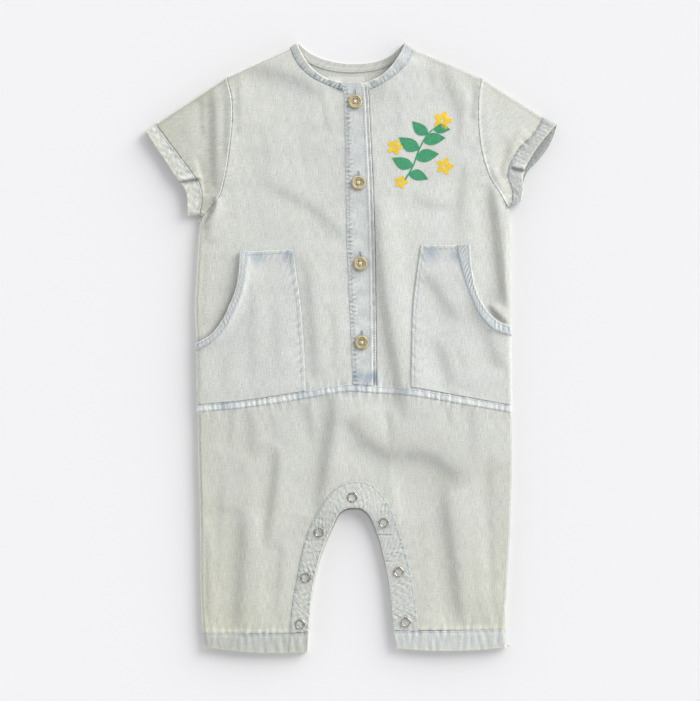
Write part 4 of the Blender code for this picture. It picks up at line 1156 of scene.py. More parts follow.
@dataclass(frozen=True)
class Plain:
    """A moulded or spun surface of one colour with a fine grain: button horn, snap metal, thread or tape."""

    name: str
    colour: str
    second: str
    grain: float
    roughness: float
    metallic: float = 0.0
    bump: float = 0.05 * MM
    sheen: float = 0.0

    def material(self) -> bpy.types.Material:
        """Builds it: two colours mixed by a noise of the grain's size, which also makes the bump."""
        material = bpy.data.materials.new(self.name)
        material.use_nodes = True
        tree = material.node_tree
        shader = tree.nodes["Principled BSDF"]
        where = add_node(tree, "ShaderNodeTexCoord").outputs["Object"]
        settings = {"Scale": 1 / self.grain, "Detail": 3.0, "Distortion": 0.6}
        cloud = add_node(tree, "ShaderNodeTexNoise", settings, Vector=where).outputs[0]
        share = add_node(tree, "ShaderNodeMapRange", {"From Min": 0.35, "From Max": 0.65}, Value=cloud).outputs[0]
        tree.links.new(mix(tree, share, self.colour, self.second), shader.inputs["Base Color"])
        bump = add_node(tree, "ShaderNodeBump", {"Strength": 0.4, "Distance": self.bump}, Height=cloud)
        tree.links.new(bump.outputs[0], shader.inputs["Normal"])
        shader.inputs["Roughness"].default_value = self.roughness
        shader.inputs["Metallic"].default_value = self.metallic
        shader.inputs["Sheen Weight"].default_value = self.sheen
        return material


@dataclass
class Finishes:
    """Every finish of the garment, made once."""

    front: bpy.types.Material = field(default_factory=lambda: Denim("denim_front", "#D4D6D2").material())
    back: bpy.types.Material = field(default_factory=lambda: Denim("denim_back", "#CDCFC8").material())
    trim: bpy.types.Material = field(default_factory=lambda: Denim("denim_trim", "#D1D4D2").material())
    thread: bpy.types.Material = field(
        default_factory=lambda: Plain("cotton_thread", "#97A6B2", "#AAB6BE", 1.5 * MM, 0.7, sheen=0.2).material()
    )
    white: bpy.types.Material = field(
        default_factory=lambda: Plain("white_thread", "#E9E7DF", "#F4F3EE", 1.5 * MM, 0.7, sheen=0.2).material()
    )
    tape: bpy.types.Material = field(
        default_factory=lambda: Plain("woven_tape", "#DEDDDC", "#E6E5E3", 1.0 * MM, 0.55, sheen=0.1).material()
    )
    horn: bpy.types.Material = field(
        default_factory=lambda: Plain("horn_plastic", "#A89A70", "#C7BB94", 4.0 * MM, 0.38).material()
    )
    # the ring's dark and pale mottle is painted reflection: dark arcs and highlights of the metal
    snap: bpy.types.Material = field(
        default_factory=lambda: Plain("nickel_ring", "#857D72", "#E2DCD2", 2.2 * MM, 0.22, 1.0).material()
    )
    leaf: bpy.types.Material = field(
        default_factory=lambda: Plain("leaf_ink", "#3F9468", "#4BA377", 2.0 * MM, 0.85).material()
    )
    petal: bpy.types.Material = field(
        default_factory=lambda: Plain("petal_ink", "#F0C61F", "#F6D23F", 2.0 * MM, 0.85).material()
    )


def cream_cast_and_painted_shade(points: Array) -> Array:
    """How yellow the cloth is, which also darkens it: more at the sides, low on the legs and on the west; the rise low
    and to the west is partly cream cast and partly painted shade, darker away from the light.

    Args:
        points: plan points, rows x columns x 2.

    Returns:
        0 for none to 1 for full, rows x columns.
    """
    flat = points.reshape(-1, 2)
    distance, _ = to_fold(flat)
    hems = np.minimum(*(nearest(flat, curve(HEM_SEAMS[side], 4))[0] for side in ("west", "east")))
    waist = nearest(flat, stretch_of(WAIST, -0.15, 0.155)[::4])[0]
    warm = 0.08 + 0.3 * np.exp(-distance / (9 * MM)) + 0.3 * np.exp(-hems / (9 * MM))
    warm += 0.1 * np.exp(-waist / (6 * MM)) + 0.3 * np.clip((-0.04 - flat[:, 1]) / 0.22, 0, 1)
    warm += 0.12 * np.clip((-0.06 - flat[:, 0]) / 0.08, 0, 1)
    return warm.reshape(points.shape[:2])


def pucker_fade(grid: Array) -> Array:
    """Wear on a grid: seam puckers rub white and their hollows stay blue, and the side seams show a dark line. The
    folded side's rim is paler on the west and darker on the east, where the darkening is painted shade on the edge
    facing the light.
    """
    flat = grid.reshape(-1, 2)
    worn = sum(gather.dye_and_painted_shade * gather.at(flat) for gather in GATHERS if gather.dye_and_painted_shade)
    from_side = to_fold(flat)[0]
    # rim of the folded side: paler on the west, painted shade on the east
    worn += np.where(flat[:, 0] < 0, 0.5, -0.4) * bell(from_side, 0.3 * MM, 1.0 * MM)
    return (worn - 0.4 * bell(from_side, 2.4 * MM, 0.5 * MM)).reshape(grid.shape[:2])


# Sub-assemblies.


def armhole(side: str, shift: float, step: float, underarm: End = End.PLAIN) -> Array:
    """Stations down an armhole seam, moved towards the body by shift."""
    path = beside(column(ARMHOLES, side), shift if side == "west" else -shift)
    return stations(path, step, End.FOLD, underarm)


def neck_seam(side: str, shift: float, step: float, start: End = End.PLAIN) -> Array:
    """Stations along a front neck seam from the shoulder, moved towards the chest by shift."""
    return stations(beside(column(NECK_SEAMS, side), -shift if side == "west" else shift), step, start)


def cuff_seam(side: str, shift: float) -> Array:
    """The seam between sleeve and cuff, moved towards the body by shift."""
    return beside(column(CUFF_SEAMS, side), shift if side == "west" else -shift)


@dataclass
class Bodice:
    """The two fronts and the back, from the waist to the shoulders."""

    finishes: Finishes
    edge_radius: float = 0.9 * MM

    def front(self, side: str) -> Patch:
        """One front, from the side to the placket.

        Args:
            side: west or east.

        Returns:
            Its patch, sunk along the armhole and the neck seam.
        """
        hole = armhole(side, SEAM, PANEL_STEP)[::-1]
        low_y = height_on(WAIST, WAIST_ENDS[side]) + GAP / 2
        body = stations(side_edge(side, low_y, hole[0, 1]), PANEL_STEP, End.EDGE, End.PLAIN)
        outer = chain(body[:-1], hole)
        shoulder = stations(np.array([hole[-1], corner(SHOULDERS, side)]), PANEL_STEP, End.FOLD, End.PLAIN)
        high = chain(shoulder[:-1], neck_seam(side, SEAM, PANEL_STEP))
        inner_low = height_on(WAIST, PLACKET_FOOT) + GAP / 2
        inner = placket_line(side, placket_seam(side), inner_low, high[-1, 1])
        inner[0, 1] = height_on(WAIST, inner[0, 0]) + GAP / 2
        high[-1] = inner[-1]
        south = stretch_of(WAIST, outer[0, 0], inner[0, 0], GAP / 2)
        grid = patch(south, high, outer, inner)
        west, east, _, north = margins(grid)
        at_hole = (np.arange(len(outer)) >= len(body) - 1)[:, None]
        hole_distance = np.where(at_hole, west, 1.0)
        at_neck = (np.arange(grid.shape[1]) >= len(shoulder) - 1)[None, :]
        neck_distance = np.where(at_neck, north, 1.0)
        sunk = rounded(hole_distance, self.edge_radius) + rounded(east, self.edge_radius)
        sunk += 0.15 * rounded(neck_distance, self.edge_radius)
        fade = pucker_fade(grid) - 0.2 * bell(hole_distance, 0.0, 1.2 * MM)
        lift = -0.55 * CLOTH * np.clip(sunk, 0, 1)
        # painted shadow: beside the west pocket's raised opening, at the foot of the east opening, and along each
        # pocket's inner edge
        flat, (x, y) = grid.reshape(-1, 2), MOUTH_FOOT
        if side == "west":
            hollow, reached, _ = nearest(flat, curve([row[2:] for row in POCKET_BINDINGS[side]], 6))
            dark = 0.4 * bell(hollow, 0.0, 3.2 * MM) * bell(reached, 66 * MM, 56 * MM)
        else:
            dark = 0.26 * bell(np.hypot(flat[:, 0] - x * MM, flat[:, 1] - y * MM), 0.0, 5.5 * MM)
            dark += 0.17 * bell(np.hypot(flat[:, 0] - x * MM, flat[:, 1] - (y + 16) * MM), 0.0, 11 * MM)
        dark += 0.16 * bell(nearest(flat, curve(POCKET_INNER[side], 6))[0], 0.0, 1.1 * MM)
        shade = 1 - dark.reshape(grid.shape[:2])
        return Patch(grid, Face.FRONT, lift, fade=fade, warm=cream_cast_and_painted_shade(grid), shade=shade).towards(side)

    def back(self) -> Patch:
        """The back, one panel from side to side."""
        edges, holes = {}, {}
        for side in ("west", "east"):
            hole = armhole(side, SEAM, BACK_STEP)[::-1]
            low = height_on(WAIST, WAIST_ENDS[side]) + GAP / 2
            body = stations(side_edge(side, low, hole[0, 1]), BACK_STEP, End.EDGE, End.PLAIN)
            edges[side], holes[side] = chain(body[:-1], hole), hole[-1]
        edges["east"] = at_fractions(edges["east"], shares(edges["west"]))
        tops = [
            stations(np.array([holes[side], corner(SHOULDERS, side)]), BACK_STEP, End.FOLD, End.PLAIN)[:-1]
            for side in ("west", "east")
        ]
        neck = stations(beside(curve(BACK_NECK_SEAM), -SEAM), BACK_STEP, End.PLAIN, End.PLAIN)
        high = chain(tops[0], neck, tops[1][::-1])
        south = stretch_of(WAIST, edges["west"][0, 0], edges["east"][0, 0], GAP / 2)
        grid = patch(south, high, edges["west"], edges["east"])
        _, _, low, _ = margins(grid)
        sunk = rounded(low, self.edge_radius)
        worn = 0.6 * bell(low, 1.6 * MM, MM)
        # painted shadow inside the neck, below the raised east neck edge
        dark = bell(grid[..., 0], NECK_SHADE * MM, 9 * MM) * bell(grid[..., 1], BACK_NECK_SEAM[-3][1] * MM, 14 * MM)
        looks = {"fade": worn, "warm": cream_cast_and_painted_shade(grid), "shade": 1 - 0.24 * dark}
        return Patch(grid, Face.BACK, -0.5 * CLOTH * sunk, **looks)

    def build(self) -> dict[str, Shell]:
        """Builds the three panels and returns them by node name."""
        made = {}
        for side, worn in (("west", "right"), ("east", "left")):
            node = f"front_bodice_{worn}"
            cut = [self.front(side)]
            made[node] = sew(node, cut, self.finishes.front, "denim")
            declare(made[node], cut, ["cloth_back_bodice"])
        cut = [self.back()]
        made["back_bodice"] = sew("back_bodice", cut, self.finishes.back, "denim_back")
        declare(made["back_bodice"], cut, ["floor"])
        return made


def inside_leg_x(side: str, height: float) -> float:
    """Where one inside leg edge of the front stands at a height."""
    leg = ARCH[:ARCH_TOP] if side == "west" else ARCH[:ARCH_TOP:-1]
    return float(np.interp(height, leg[:, 1], leg[:, 0]))


def back_arch() -> Array:
    """The back's inside leg edge: the front's, moved into the gap between the legs."""
    return beside(ARCH, -BACK_SHOWS * np.sin(math.pi * np.linspace(0, 1, len(ARCH))) ** 2)


@dataclass
class Lower:
    """The seat and legs, front and back, with their facings and hems."""

    finishes: Finishes
    edge_radius: float = 0.8 * MM
    hem_radius: float = 0.5 * MM
    hem_reach: float = 0.7 * MM
    facing_pucker: float = 0.22 * MM
    hem_pucker: float = 0.11 * MM

    def halves(self, arch: Array, face: Face, step: float) -> list[Patch]:
        """The panel as a west and an east grid that share the line above the arch.

        Args:
            arch: its inside leg edge.
            face: front or back.
            step: distance between stations.

        Returns:
            Its two patches.
        """
        centre_x = BUTTONS[-1][0] * MM
        centre = np.array([arch[ARCH_TOP], (centre_x, height_on(WAIST, centre_x) - GAP / 2)])
        body = stations(centre, step, End.PLAIN, End.EDGE)
        made = []
        for side, seam in HEM_SEAMS.items():
            leg = arch[: ARCH_TOP + 1] if side == "west" else arch[: ARCH_TOP - 1 : -1]
            leg = leg[leg[:, 1] > height_on(seam, leg[0, 0]) + SEAM]
            up = at_fractions(leg, np.linspace(0, 1, round(0.135 / step)))
            inner = chain(up[:-1], body)
            foot = height_on(seam, HEM_ENDS[side]) + SEAM
            outer = side_edge(side, foot, height_on(WAIST, WAIST_ENDS[side]) - GAP / 2)
            outer = at_fractions(outer, shares(inner))
            high = stations(stretch_of(WAIST, outer[-1, 0], body[-1, 0], -GAP / 2), step, End.FOLD, End.PLAIN)
            grid = patch(stretch_of(seam, outer[0, 0], inner[0, 0], SEAM), high, outer, inner)
            _, east, south, north = margins(grid)
            at_leg = (np.arange(len(inner)) < len(up))[:, None]
            leg_distance = np.where(at_leg, east, 1.0)
            sunk = rounded(np.minimum(leg_distance, north), self.edge_radius) + 0.1 * rounded(south, self.edge_radius)
            if face is Face.FRONT:
                fade = pucker_fade(grid) + 0.3 * bell(north, 2.6 * MM, 2.4 * MM) + 0.3 * bell(south, 2.2 * MM, 2 * MM)
            else:
                fade = 0.5 * bell(north, 1.6 * MM, MM) + 0.5 * bell(south, 1.6 * MM, MM)
            # painted light: a little lighter to the east, towards the light
            looks = {"fade": fade, "warm": cream_cast_and_painted_shade(grid), "shade": 1 + 0.025 * np.tanh(grid[..., 0] / (60 * MM))}
            made.append(Patch(grid, face, -0.45 * CLOTH * sunk, **looks).towards(side))
        return made

    def facing(self) -> Patch:
        """The front facing, from the inside leg edge out to its seam."""
        seam = curve(FACING_SEAM)
        edge = ARCH[(ARCH[:, 1] > seam[0, 1]) & (ARCH[:, 1] > seam[-1, 1])]
        seam, edge = seam[::3], at_fractions(edge, shares(seam[::3]))
        fractions = shares(stations(seam, TRIM_STEP * 1.2, End.PLAIN, End.PLAIN))
        grid = band(at_fractions(edge, fractions), at_fractions(seam, fractions))
        _, _, inner, outer = margins(grid)
        along = run_length(seam)[-1] * fractions[None, :] + 0 * inner
        waves = 0.7 * ripple(along, inner, 6 * MM, 31, 7, 1.6) * (0.7 + 0.5 * ripple(along, inner, 30 * MM, 32))
        waves += 0.4 * ripple(inner, along, 5 * MM, 34, 7, 1.2) + 0.28 * ripple(along, inner, 3 * MM, 33, 6, 1.0)
        sunk = rounded(inner, 0.8 * MM) + 0.5 * rounded(outer, 0.6 * MM)
        lift = 0.6 * PRESSED + self.facing_pucker * waves - 0.3 * TRIM * sunk
        groove = bell(outer, 1.3 * MM, 0.5 * MM)
        west = np.clip(-grid[..., 0] / (30 * MM), 0, 1)
        fade = -0.04 - 0.12 * west + 0.26 * waves - 0.25 * groove + 0.35 * bell(inner, 0.6 * MM, 0.8 * MM)
        join = nearest(grid.reshape(-1, 2), np.array(FACING_JOIN) * MM)[0].reshape(inner.shape)
        fade = fade + 0.5 * bell(join, 1.3 * MM, 0.5 * MM) - 0.9 * bell(join, 0.0, 0.6 * MM)
        grain = np.dstack([along, inner])[..., ::-1]
        # painted shade along the outer edge, to dim its lit rim
        shade = 1 - 0.12 * bell(outer, 0.0, 0.5 * MM)
        return Patch(grid, Face.FRONT, lift - 0.08 * MM * groove, GAP / 2, fade, 0.2 + 0.2 * west, shade, grain)

    def back_facing(self) -> Patch:
        """The facing inside the back's leg edge, which shows below the front's."""
        edge = back_arch()
        edge = edge[edge[:, 1] > (FACING_SEAM[-1][1] + 2) * MM]
        edge = stations(edge, 2 * MM, End.PLAIN, End.PLAIN)
        grid = band(edge, beside(edge, BACK_FACING), 2.5 * MM)
        _, _, inner, _ = margins(grid)
        fade = -0.1 + 0.4 * bell(inner, 0.3 * MM, 0.6 * MM)
        # painted shadow under the front's leg edge, inwards from the back's pale rim
        shade = 1 - 0.4 * np.clip(inner / (1.2 * MM) - 0.4, 0, 1)
        return Patch(grid, Face.BACK, -CLOTH - GAP / 2, -CLOTH - GAP / 2 - TRIM, fade, 0.4, shade)

    def hem(self, side: str, face: Face) -> Patch:
        """A turned hem, from the folded side to the inside leg edge.

        Args:
            side: west or east.
            face: front or back.

        Returns:
            Its patch, with upright puckers and the end of the leg facing as a step.
        """
        seam = HEM_SEAMS[side]
        seam_height = height_on(seam, HEM_ENDS[side]) - SEAM
        top = stretch_of(seam, side_x(side, seam_height), inside_leg_x(side, seam_height), -SEAM)
        bottom_x = getattr(BODY_SIDES[-1], side) * MM
        bottom = stretch_of(HEM_EDGES[side], bottom_x, ARCH[0 if side == "west" else -1, 0], -self.hem_reach)
        step = TRIM_STEP * (1 if face is Face.FRONT else 2.5)
        low = stations(bottom, step, End.FOLD, End.EDGE)
        grid = band(low, at_fractions(top, shares(low)), step)
        _, east, south, north = margins(grid)
        along = margins(grid)[0]
        seed = 41 if side == "west" else 42
        waves = ripple(along, south, 6.5 * MM, seed, 8, 0.3)
        laid_over = 1 / (1 + np.exp((east - 17.5 * MM) / (0.35 * MM)))
        lift = TURNED_SWELL * np.clip(along / ROLL, 0, 1) * risen(north, 5 * MM) * (face is Face.FRONT)
        lift = lift - 0.75 * TURNED * rounded(np.minimum(south, east), self.hem_radius)
        fade = -0.14 + 0.14 * waves - 0.12 * bell(north, 1.2 * MM, 0.8 * MM) + 0.4 * bell(south, 0.8 * MM, 0.7 * MM)
        if face is Face.FRONT:
            lift = lift + self.hem_pucker * waves + 0.35 * MM * laid_over
            fade = fade - 0.3 * bell(east, 18.2 * MM, 0.7 * MM)
        warm = (0.4 if side == "west" else 0.2) + 0.3 * bell(south, 0.0, 3 * MM)
        return Patch(grid, face, lift, -TURNED, fade, warm).towards(side)

    def build(self) -> dict[str, Shell]:
        """Builds seat, legs, facings and hems, and returns them by node name."""
        made = {}
        trims = {"front": [], "back": []}
        facing, inside = self.facing(), self.back_facing()
        made["crotch_facing"] = sew("crotch_facing", [facing], self.finishes.trim, "trim_cloth")
        made["crotch_facing_back"] = sew("crotch_facing_back", [inside], self.finishes.trim, "trim_cloth")
        for side, worn in (("west", "right"), ("east", "left")):
            for word, face, slot in (("front", Face.FRONT, "denim"), ("back", Face.BACK, "denim_back")):
                node = f"hem_{word}_{worn}"
                cut = [self.hem(side, face)]
                made[node] = sew(node, cut, self.finishes.trim, slot)
                trims[word].append(made[node].object)
        cut = self.halves(ARCH, Face.FRONT, PANEL_STEP)
        made["front_lower"] = sew("front_lower", cut, self.finishes.front, "denim")
        declare(made["front_lower"], cut, ["cloth_back_lower"], *trims["front"], made["crotch_facing"].object)
        cut = self.halves(back_arch(), Face.BACK, BACK_STEP)
        made["back_lower"] = sew("back_lower", cut, self.finishes.back, "denim_back")
        declare(made["back_lower"], cut, ["floor"], *trims["back"], made["crotch_facing_back"].object)
        return made


@dataclass
class Sleeve:
    """A short sleeve and its turned-up cuff, both flattened tubes."""

    finishes: Finishes
    side: str
    worn: str
    warp: float  # way of the long yarns, in degrees from east
    step: float = 1.4 * MM
    ridge: float = 0.35 * MM
    cuff_radius: float = 1.2 * MM
    cuff_pucker: float = 0.2 * MM

    def tube(self) -> list[Patch]:
        """The sleeve's front and back, ruled from the cuff seam to the armhole."""
        hole = armhole(self.side, -SEAM, self.step, End.FOLD)
        seam = at_fractions(cuff_seam(self.side, SEAM), shares(hole))
        grid = band(seam, hole, self.step)
        _, _, from_cuff, from_hole = margins(grid)
        sunk = rounded(np.minimum(from_cuff, from_hole), 0.8 * MM)
        ridge = bell(from_hole, 1.0 * MM, 0.8 * MM)
        rubbed = pucker_fade(grid) + 0.3 * ridge - 0.12 * bell(from_hole, 6 * MM, 4 * MM)
        rubbed -= 0.35 * bell(from_cuff, 0.5 * MM, 0.7 * MM)
        way = math.radians(self.warp)
        turn = np.array([[math.sin(way), math.cos(way)], [-math.cos(way), math.sin(way)]])
        looks = {"warm": cream_cast_and_painted_shade(grid) + 0.1 + 0.45 * np.exp(-from_cuff / (5 * MM)), "grain": grid @ turn}
        front = Patch(grid, Face.FRONT, self.ridge * ridge - 0.4 * CLOTH * sunk, fade=rubbed, **looks)
        return [front.towards(self.side), replace(front, face=Face.BACK, fade=0.0).towards(self.side)]

    def cuff(self) -> list[Patch]:
        """The cuff's front and back. On the east its back reaches past its front."""
        edge = column(CUFF_EDGES, self.side)
        back_edge = edge if self.side == "west" else curve(EAST_CUFF_BACK_EDGE)
        seam = stations(cuff_seam(self.side, -SEAM), TRIM_STEP, End.FOLD, End.FOLD)
        made = []
        for face, path in ((Face.FRONT, edge), (Face.BACK, back_edge)):
            grid = band(at_fractions(path, shares(seam)), seam)
            along, _, free, sewn = margins(grid)
            seed = 51 if self.side == "west" else 52
            waves = 0.6 * ripple(along, free, 6 * MM, seed, 6, 1.0) + 0.6 * ripple(free, along, 3.5 * MM, seed, 7, 1.2)
            swell = TURNED_SWELL * np.clip(np.minimum(along, along[:, -1:] - along) / ROLL, 0, 1)
            swell = swell * (np.clip(sewn / (6 * MM), 0, 1) - 0.3) if face is Face.FRONT else 0.0
            lift = swell + self.cuff_pucker * waves * (face is Face.FRONT)
            ends = np.clip(np.minimum(along, along[:, -1:] - along) / ROLL, 0, 1)
            lift = lift * ends - 0.75 * TURNED * rounded(free, self.cuff_radius) - 0.3 * CLOTH * rounded(sewn, 0.8 * MM)
            groove = bell(sewn, 1.4 * MM, 0.5 * MM)
            # the back is bluer, as the cloth's reverse side, and partly painted shade of the cuff's hollow
            base, mottle = (0.0, 0.12) if face is Face.FRONT else (-0.35, 0.3)
            fade = base + mottle * waves - 0.2 * groove + 0.4 * bell(free, 1.2 * MM, 0.8 * MM)
            fade = fade - 0.25 * bell(sewn, 3.5 * MM, 3 * MM) * np.clip(0.3 + ripple(along, free, 22 * MM, 53), 0, 1)
            warm = (0.33 if self.side == "west" else 0.15) + 0.3 * bell(free, 0.0, 2.5 * MM)
            bend = nearest(grid.reshape(-1, 2), bent_line(CUFF_BENDS[self.side]))[0].reshape(grid.shape[:2])
            # painted shade: along the cuff's sharp bend, on its free and sewn edges, and over its back, which lies in
            # the cuff's hollow
            shade = (1 - 0.35 * bell(bend, 0.0, MM)) * (1 - 0.25 * bell(free, 0.0, 0.6 * MM))
            shade = shade * (1 - 0.15 * bell(sewn, 0.3 * MM, 0.8 * MM)) * (1.0 if face is Face.FRONT else 0.88)
            made.append(Patch(grid, face, lift, -TURNED, fade, warm, shade).towards(self.side))
        return made

    def build(self) -> dict[str, Shell]:
        """Builds the sleeve and its cuff, and returns them by node name."""
        cuff = sew(f"cuff_{self.worn}", self.cuff(), self.finishes.trim, "trim_cloth", ring=True)
        cut = self.tube()
        sleeve = sew(f"sleeve_{self.worn}", cut, self.finishes.front, "denim", ring=True)
        declare(sleeve, cut, ["floor"], cuff.object, tube=True)
        return {f"sleeve_{self.worn}": sleeve, f"cuff_{self.worn}": cuff}


@dataclass
class Neck:
    """The bound neck edge, its inside back band and the bare label."""

    finishes: Finishes
    pucker: float = 0.13 * MM

    def binding(self, side: str) -> Patch:
        """The front binding on one side, from the shoulder to the placket."""
        shift = -GAP / 2 if side == "west" else UNDER_PLACKET + GAP / 2
        stop = placket_line(side, shift, NECK_SEAM_FOOT, PLACKET_SIDES[0].y * MM)
        ended = []
        for path in (beside(column(NECK_SEAMS, side), (SEAM) * (1 if side == "west" else -1)),
                     column(NECK_EDGES, side)):
            limit = np.interp(path[-1, 1], stop[:, 1], stop[:, 0])
            before = abs(path[:, 0] - path[0, 0]) < abs(limit - path[0, 0])
            onward = path if side == "west" else path * (-1, 1)
            height = np.interp(abs(limit) * (-1 if side == "west" else -1), onward[:, 0], onward[:, 1])
            ended.append(chain(path[before], [[limit, height]]))
        seam = stations(ended[0], TRIM_STEP, End.FOLD, End.EDGE)
        grid = band(seam, at_fractions(ended[1], shares(seam)))
        along, end, sewn, free = margins(grid)
        waves = 0.8 * ripple(along, sewn, 3.2 * MM, 61 if side == "west" else 62, 7, 0.9) * bell(sewn, 2 * MM, 4 * MM)
        waves += 0.4 * ripple(along, sewn, 9 * MM, 64, 6, 1.2)
        strength = np.clip(along / (50 * MM), 0.25, 1)
        lift = self.pucker * waves * strength - 0.7 * TURNED * rounded(free, MM)
        lift += 0.3 * MM * bell(sewn, 4 * MM, 3 * MM) - 0.3 * CLOTH * rounded(sewn, MM)
        lift += (GAP + TRIM) * bell(end, 0.0, 8 * MM) * (side == "west")
        fade = (-0.3 if side == "west" else -0.16) + 0.7 * waves * strength + 0.5 * bell(free, 0.6 * MM, 0.8 * MM)
        fade = fade - 0.2 * bell(sewn, 0.6 * MM, MM)
        return Patch(grid, Face.FRONT, lift, -TURNED, fade, 0.3 if side == "west" else 0.15).towards(side)

    def band_back(self) -> Patch:
        """The back neck band, from shoulder to shoulder, whose inside shows in the neck."""
        seam = stations(beside(curve(BACK_NECK_SEAM), SEAM), 1.2 * MM, End.FOLD, End.FOLD)
        grid = band(seam, at_fractions(curve(BACK_NECK_EDGE), shares(seam)))
        along, _, sewn, free = margins(grid)
        lines = bell(sewn, 1.6 * MM, 0.8 * MM) + bell(free, 2.4 * MM, 0.8 * MM)
        fade = 0.15 - 0.35 * lines + 0.08 * ripple(along, sewn, 7 * MM, 63)
        # painted shade on the free edge, which faces the light, and painted shadow inside the neck below the raised
        # east edge
        shade = (1 - 0.2 * bell(free, 0.0, 0.8 * MM)) * (1 - 0.24 * bell(grid[..., 0], NECK_SHADE * MM, 9 * MM))
        return Patch(grid, Face.BACK, 0.0, -TURNED, fade, 0.3, shade)

    def label(self) -> Patch:
        """A plain folded tape inside the back neck."""
        west, east, south, north = (value * MM for value in NECK_LABEL)
        x, y = np.meshgrid(np.linspace(west, east, 24), np.linspace(south, north, 12))
        grid = np.stack([x, y], axis=2)
        return Patch(grid, Face.BACK, -CLOTH - GAP, -CLOTH - GAP - LABEL)

    def build(self) -> dict[str, Shell]:
        """Builds bindings, band and label, and returns them by node name."""
        made = {}
        for side, worn in (("west", "right"), ("east", "left")):
            node = f"neck_binding_{worn}"
            made[node] = sew(node, [self.binding(side)], self.finishes.trim, "trim_cloth")
        made["neck_band_back"] = sew("neck_band_back", [self.band_back()], self.finishes.trim, "trim_cloth")
        cut = [self.label()]
        made["neck_label"] = sew("neck_label", cut, self.finishes.tape, "label_tape")
        declare(made["neck_label"], cut, ["cloth_back_bodice"])
        return made


